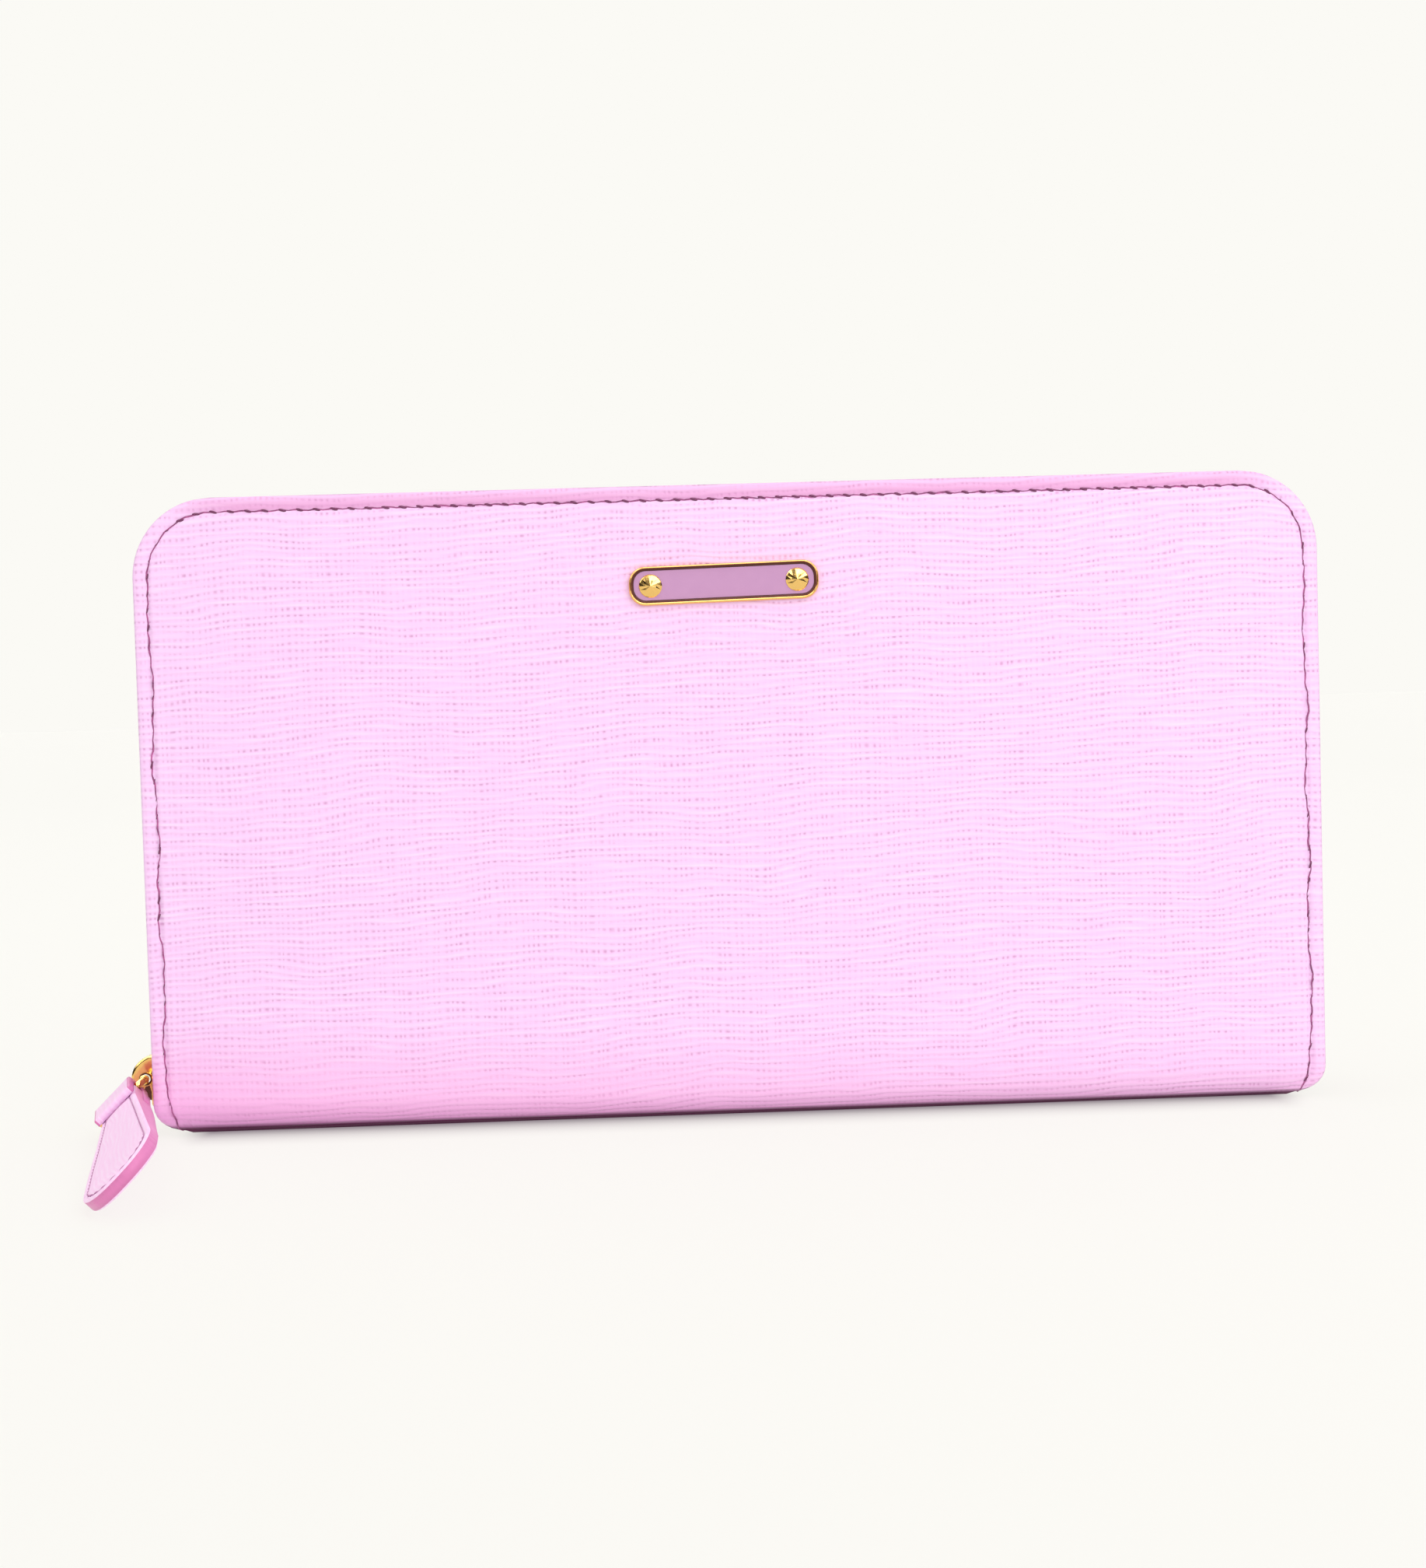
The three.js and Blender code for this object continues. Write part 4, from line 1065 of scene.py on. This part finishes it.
def badge_stud(node):
    """A low fluted cone on a thin collar."""
    low, high, middle = box_mm(node)
    centre = on_badge(middle.x - BADGE_CENTRE.x, middle.z - BADGE_CENTRE.z)
    radius = (high.x - low.x) / 2
    count = 18
    back = BADGE_BACK - 0.4
    rings = [(1.0, 0.0, 0.0), (1.0, 0.16, 0.0), (0.93, 0.26, 0.0), (0.5, 0.56, 0.03)]
    verts = []
    for share, rise, flute in rings:
        round_points = arc(centre, radius * share, 0, 2 * pi, count)[:-1]
        verts += [(x, back - rise + (-flute if k % 2 else flute), z) for k, (x, z) in enumerate(round_points)]
    tip = len(verts)
    verts.append((centre[0], back - 0.9, centre[1]))
    faces = [tuple(range(count))] + loft_faces(len(rings), count)[:-2]
    last = (len(rings) - 1) * count
    faces += [(last + k, last + (k + 1) % count, tip) for k in range(count)]
    obj = outward(make_object(node + "_cut", verts, faces, [GOLD], smooth=False))
    return settled(obj, "gold_hardware", "front_cover", node)


# ---- the inside ----
def soft_plate(name, node, material, slot, body, radius=3.0, edge=0.14):
    """A thin panel in a CAD plate's place, with rounded corners and a turned edge."""
    low, high, middle = box_mm(node)
    outline = rounded_outline(high.x - low.x, high.z - low.z, radius, 6)

    obj = extruded(name, outline, lambda a, b, t: (middle.x + a, low.y + t, middle.z + b), high.y - low.y,
                   [material], edge)
    return settled(obj, slot, body, node)


def pale_seam(name, start, end, out, slot, body):
    """A straight row of stitches between two points."""
    seam = stitches(name, [Vector(start), Vector(end)], lambda p: Vector((0, out, 0)), PALE_THREAD,
                    2.6, 2.0, 0.13, 6, 0.02)
    settled(seam, slot, body)


def card_tiers(side, sign):
    body = side + "_cover"
    for tier in range(1, 5):
        name = "%s_tier_%d" % (side, tier)
        node = "%s_card_tier_%d" % (side, tier)
        soft_plate(name, node, TIER_SKIN, "inner_leather", body, 2.5)
        low, high, _ = box_mm(node)
        y = high.y if sign < 0 else low.y
        top = high.z - 1.3
        pale_seam(name + "_seam_0", (low.x + 1.5, y, top), (high.x - 1.5, y, top), -sign, "inner_leather", body)
        if tier == 4:
            pale_seam(name + "_seam_1", (0, y, low.z + 1), (0, y, high.z - 2), -sign, "inner_leather", body)


def cover_inside(side):
    """The lining sheet follows the cover's outline; the board stays hidden behind it."""
    for node, material, slot in (("lining", LINING, "lining_fabric"), ("board", BOARD, "stiffener")):
        low, high, _ = box_mm(side + "_" + node)
        outline = outline_path(low.x + HALF_WIDTH, low.z, 3.0)
        obj = extruded("%s_%s_sheet" % (side, node), outline, lambda a, b, t: (a, low.y + t, b), high.y - low.y,
                       [material], 0.1)
        settled(obj, slot, side + "_cover", side + "_" + node)


def gusset(end, end_sign, side, sign):
    """One folded leaf pair from a cover in to a pleat and back out to the coin pocket's end."""
    nodes = ["gusset_%s_%s_%s" % (end, side, leaf) for leaf in ("cover", "coin")]
    low, high, cover = box_mm(nodes[0])
    outer, fold = sorted((abs(low.x), abs(high.x)), reverse=True)
    near, far = abs(box_mm(nodes[1])[2].y), abs(cover.y)
    draw, steps, rows = 0.9, 14, 22
    shares = [k / steps for k in range(steps + 1)]
    route = [(outer + (fold - outer) * t, far - draw * t ** 2) for t in shares]
    middle, half = (far + near) / 2, (far - near) / 2 - draw
    for k in range(1, 6):
        angle = pi * k / 6
        route.append((fold - half * sin(angle), middle + half * cos(angle)))
    route += [(outer + (fold - outer) * t, near + draw * t ** 2) for t in reversed(shares)]
    verts, uvs = [], []
    for i in range(rows + 1):
        share = i / rows
        length = 0.0
        for k, (x, y) in enumerate(route):
            top = high.z - 10.0 * min((outer - x) / (outer - fold), 1.0)
            verts.append((end_sign * x, sign * y, low.z + (top - low.z) * share))
            if k:
                length += hypot(x - route[k - 1][0], y - route[k - 1][1])
            uvs.append((length, share * 70))
    obj = make_object("gusset_%s_%s" % (end, side), verts, grid_faces(rows + 1, len(route)), [LINING], uvs)
    thickened(obj, 0.35, 0)
    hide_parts(*nodes)
    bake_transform(obj)


def coin_pocket():
    for side, sign in (("front", -1), ("back", 1)):
        coin = "coin_" + side
        soft_plate(coin + "_panel", coin + "_wall", LINING, "lining_fabric", "spine", 3.0, 0.2)
        low, high, middle = box_mm(coin + "_wall")
        y = low.y if sign < 0 else high.y
        edge = [(low.x + 1 + (high.x - low.x - 2) * k / 40, middle.y, high.z - 0.1) for k in range(41)]
        settled(tube(coin + "_binding", edge, 0.55, TIER_SKIN), "inner_leather", "spine")
        top = high.z - 2.2
        pale_seam(coin + "_seam", (low.x + 2, y, top), (high.x - 2, y, top), sign, "lining_fabric", "spine")
        coin_teeth(side, sign)
    for node, material in (("coin_edge_strip", LINING), ("coin_front_tape", TAPE), ("coin_back_tape", TAPE),
                           ("spine_lining", LINING), ("spine_board", BOARD)):
        slots = frame["nodes"][node].data.materials
        slots.clear()
        slots.append(object_space(material))


def coin_teeth(side, sign):
    low, high, middle = box_mm("coin_%s_chain" % side)
    pitch = 1.5

    def tooth_at(x):
        return lambda d, w, t: (x + w * 0.62, sign * (d * 0.28 + 0.08), middle.z + t)

    first = low.x + pitch * (0.5 if sign < 0 else 1.0)
    places = [tooth_at(first + pitch * k) for k in range(int((high.x - low.x) / pitch) - 1)]
    row = teeth("coin_%s_teeth" % side, places, (high.z - low.z) / 2)
    settled(row, "zip_teeth", "spine", "coin_%s_chain" % side)


def coin_zip_pull():
    """The coin pocket's slider with its arch, and the flat pull that hangs on the arch."""
    low, high, centre = box_mm("coin_slider")
    outline = shield_outline(high.x - low.x, high.y, high.y * 0.75)
    plates = []
    for z, share in ((low.z, 0.68), (low.z + 2.7, 1.0)):
        plates.append(extruded("plate", outline, lambda a, b, t: (centre.x + b, a * share, z + t), 0.8, [GOLD], 0.18))
    plates.append(extruded("wedge", rounded_outline(1.6, 0.34, 0.1, 2),
                           lambda a, b, t: (low.x + 1.4 + a, b, low.z + 0.5 + t), 2.6, [GOLD], 0))
    arch = [(centre.x - 2.0 * cos(pi * k / 16), 0, low.z + 3.4 + 1.75 * sin(pi * k / 16) ** 0.7)
            for k in range(17)]
    plates.append(tube("arch", arch, 0.36, GOLD, flatten=1.1))
    settled(merged("coin_slider_casting", plates), "gold_hardware", "coin_zip_slider", "coin_slider")
    low, high, _ = box_mm("coin_pull")
    radius = 1.9
    end = high.x - radius
    side = [(low.x + 0.3, -1.2), (low.x + 0.8, -1.75), (end - 4, -1.45)]
    rim = side + arc((end, 0), radius, -pi / 2, pi, 12) + [(x, -b) for x, b in reversed(side)]
    eye = [(low.x + 2.55 + 1.7 * a, 0.95 * b) for a, b in arc((0, 0), 1, 0, 2 * pi, 20)[:-1]]
    plate = pierced_plate("coin_pull_plate", rim, eye, lambda a, b, t: (a, b, low.z + t), high.z - low.z, 0.15)
    settled(plate, "gold_hardware", "coin_zip_pull", "coin_pull")


def pierced_plate(name, rim, eye, place, thickness, bevel, segments=3):
    """A gold plate with one hole. place(a, b, t) gives the point at (a, b), t through its thickness."""
    work = bmesh.new()
    edges = []
    for outline in (rim, eye):
        points = [work.verts.new(Vector(place(a, b, 0.0)) * MM) for a, b in outline]
        edges += [work.edges.new((points[i - 1], points[i])) for i in range(1, len(points))]
        edges.append(work.edges.new((points[-1], points[0])))
    filled = bmesh.ops.triangle_fill(work, edges=edges, use_beauty=True)
    faces = [item for item in filled["geom"] if isinstance(item, bmesh.types.BMFace)]
    raised = bmesh.ops.extrude_face_region(work, geom=faces)
    shift = (Vector(place(0, 0, thickness)) - Vector(place(0, 0, 0.0))) * MM
    for item in raised["geom"]:
        if isinstance(item, bmesh.types.BMVert):
            item.co += shift
    bmesh.ops.recalc_face_normals(work, faces=work.faces)
    mesh = bpy.data.meshes.new(name)
    work.to_mesh(mesh)
    work.free()
    mesh.materials.append(GOLD)
    mesh.polygons.foreach_set("use_smooth", [True] * len(mesh.polygons))
    return bevelled(linked(name, mesh), bevel, segments)


def object_space(material):
    """The same finish for a carried-over CAD node, which has no grain map: its own place takes the map's part."""
    name = material.name + "_solid"
    if name in bpy.data.materials:
        return bpy.data.materials[name]
    copy = material.copy()
    copy.name = name
    n = Nodes(name, copy)
    for node in [node for node in n.tree.nodes if node.type == "UVMAP"]:
        scaled = n.scaled(n.add("ShaderNodeTexCoord").outputs["Object"], (1 / MM, 1 / MM, 1 / MM))
        scaled.node.inputs["Rotation"].default_value = (radians(90), 0, 0)
        for link in list(node.outputs[0].links):
            n.link(scaled, link.to_socket)
        n.tree.nodes.remove(node)
    return copy


# ---- floor, light and camera ----
SHADE_REACH = 0.016
SHADE_DEPTH = 0.9
FLOOR_EDGE = 4000
PAPER = (0.965, 0.955, 0.913)
CONTACT = (0.20, 0.13, 0.19)


def floor():
    """Pale paper that glows as the studio does, with a soft contact shade round the wallet's base."""
    n = Nodes("floor_paper")
    place = n.add("ShaderNodeTexCoord").outputs["Object"]
    tone = n.mix(n.noise(place, 3.0, 2.0), (0.118, 0.117, 0.113), (0.122, 0.121, 0.117))
    reach = n.add("ShaderNodeVectorMath", operation="LENGTH", Vector=place).outputs["Value"]
    far = n.clamped(n.line(reach, 0.9, -0.15))
    squares = []
    for value, half, weight in zip(n.split(place), (HALF_WIDTH - 1.6 * BASE_RADIUS, FLAT), (2.5, 1.0)):
        beyond = n.math("MAXIMUM", n.math("SUBTRACT", n.math("ABSOLUTE", value), half * MM), 0.0)
        squares.append(n.math("POWER", n.times(beyond, weight), 2.0))
    away = n.math("SQRT", n.plus(*squares))
    shade = n.math("MAXIMUM", n.line(away, -1 / SHADE_REACH, 1.0), 0.0)
    shade = n.times(n.math("POWER", shade, 2.0), SHADE_DEPTH)
    n.set(Base_Color=tone, Roughness=0.9, Specular_IOR_Level=0.1)
    n.set(Emission_Color=n.mix(shade, PAPER, CONTACT), Emission_Strength=n.line(far, -0.028, 0.842))
    corners = [(x * FLOOR_EDGE, y * FLOOR_EDGE, 0) for x, y in ((-1, -1), (1, -1), (1, 1), (-1, 1))]
    make_object("studio_floor", corners, [(0, 1, 2, 3)], [n.material])


def area_light(name, place, aim, size, power):
    data = bpy.data.lights.new(name, "AREA")
    data.energy = power
    data.size = size
    obj = linked(name, data)
    obj.location = place
    obj.rotation_euler = (Vector(aim) - Vector(place)).to_track_quat("-Z", "Y").to_euler()


def world_light(colour):
    """An even pale studio. Polished metal sees it as soft boxes over a dark room."""
    world = bpy.data.worlds.new("studio")
    n = Nodes("studio", world, "Background")
    place = n.add("ShaderNodeTexCoord").outputs["Generated"]
    boxes = n.add("ShaderNodeValToRGB", Fac=n.split(place)[2])
    ramp = boxes.color_ramp
    stops = [(0.0, 0.2), (0.10, 0.03), (0.28, 0.15), (0.38, 3.4), (0.80, 4.2), (1.0, 3.4)]
    while len(ramp.elements) < len(stops):
        ramp.elements.new(0.5)
    for element, (position, level) in zip(ramp.elements, stops):
        element.position = position
        element.color = (level, level, level, 1.0)
    panes = n.add("ShaderNodeMapRange", Value=n.noise(place, 3.6, 0.0), From_Min=0.42, From_Max=0.46, To_Min=0.06)
    lit = n.add("ShaderNodeVectorMath", operation="SCALE", Vector=boxes.outputs[0], Scale=panes.outputs[0])
    glossy = n.add("ShaderNodeLightPath").outputs["Is Glossy Ray"]
    n.set(Color=n.mix(glossy, colour, lit.outputs[0]))
    bpy.context.scene.world = world


CAMERA_DISTANCE = 0.40
CAMERA_AZIMUTH = radians(-1.97)
CAMERA_ELEVATION = radians(2.67)
CAMERA_ROLL = radians(-1.66)
CAMERA_AIM = Vector((-0.0038, -HALF_DEPTH * MM, 0.0558))
CAMERA_LENS = 55.7


def camera():
    """The photograph's view: nearly level, from a little to the left of the front."""
    data = bpy.data.cameras.new("camera")
    data.sensor_width = 36.0
    data.lens = CAMERA_LENS
    data.clip_start = 0.01
    data.clip_end = 50
    level = cos(CAMERA_ELEVATION)
    back = Vector((sin(CAMERA_AZIMUTH) * level, -cos(CAMERA_AZIMUTH) * level, sin(CAMERA_ELEVATION)))
    turn = (-back).to_track_quat("-Z", "Y").to_matrix().to_4x4() @ Matrix.Rotation(CAMERA_ROLL, 4, "Z")
    obj = linked("camera", data)
    obj.matrix_world = Matrix.Translation(CAMERA_AIM + back * CAMERA_DISTANCE) @ turn
    bpy.context.scene.camera = obj


# ---- the wallet ----
for side, sign in (("front", -1), ("back", 1)):
    wrap(side, sign)
    wrap_stitching(side, sign)
    zip_tape(side, sign)
    zip_teeth(side, sign)
    zip_end_stop(side)
    cover_inside(side)
    card_tiers(side, sign)
    gusset("left", -1, side, sign)
    gusset("right", 1, side, sign)
slider()
loop()
pull_body()
pull_seam(1)
pull_seam(-1)
pull_header()
badge_frame()
badge_inlay()
for node in ("badge_stud_left", "badge_stud_right"):
    badge_stud(node)
coin_pocket()
coin_zip_pull()

floor()
camera()
world_light(PAPER)
area_light("key", (0.27, -0.50, 0.30), (0.05, 0, 0.07), 0.3, 0.75)
view = bpy.context.scene.view_settings
view.view_transform = "Standard"
view.look = "None"
view.exposure = 0.0
view.gamma = 1.0
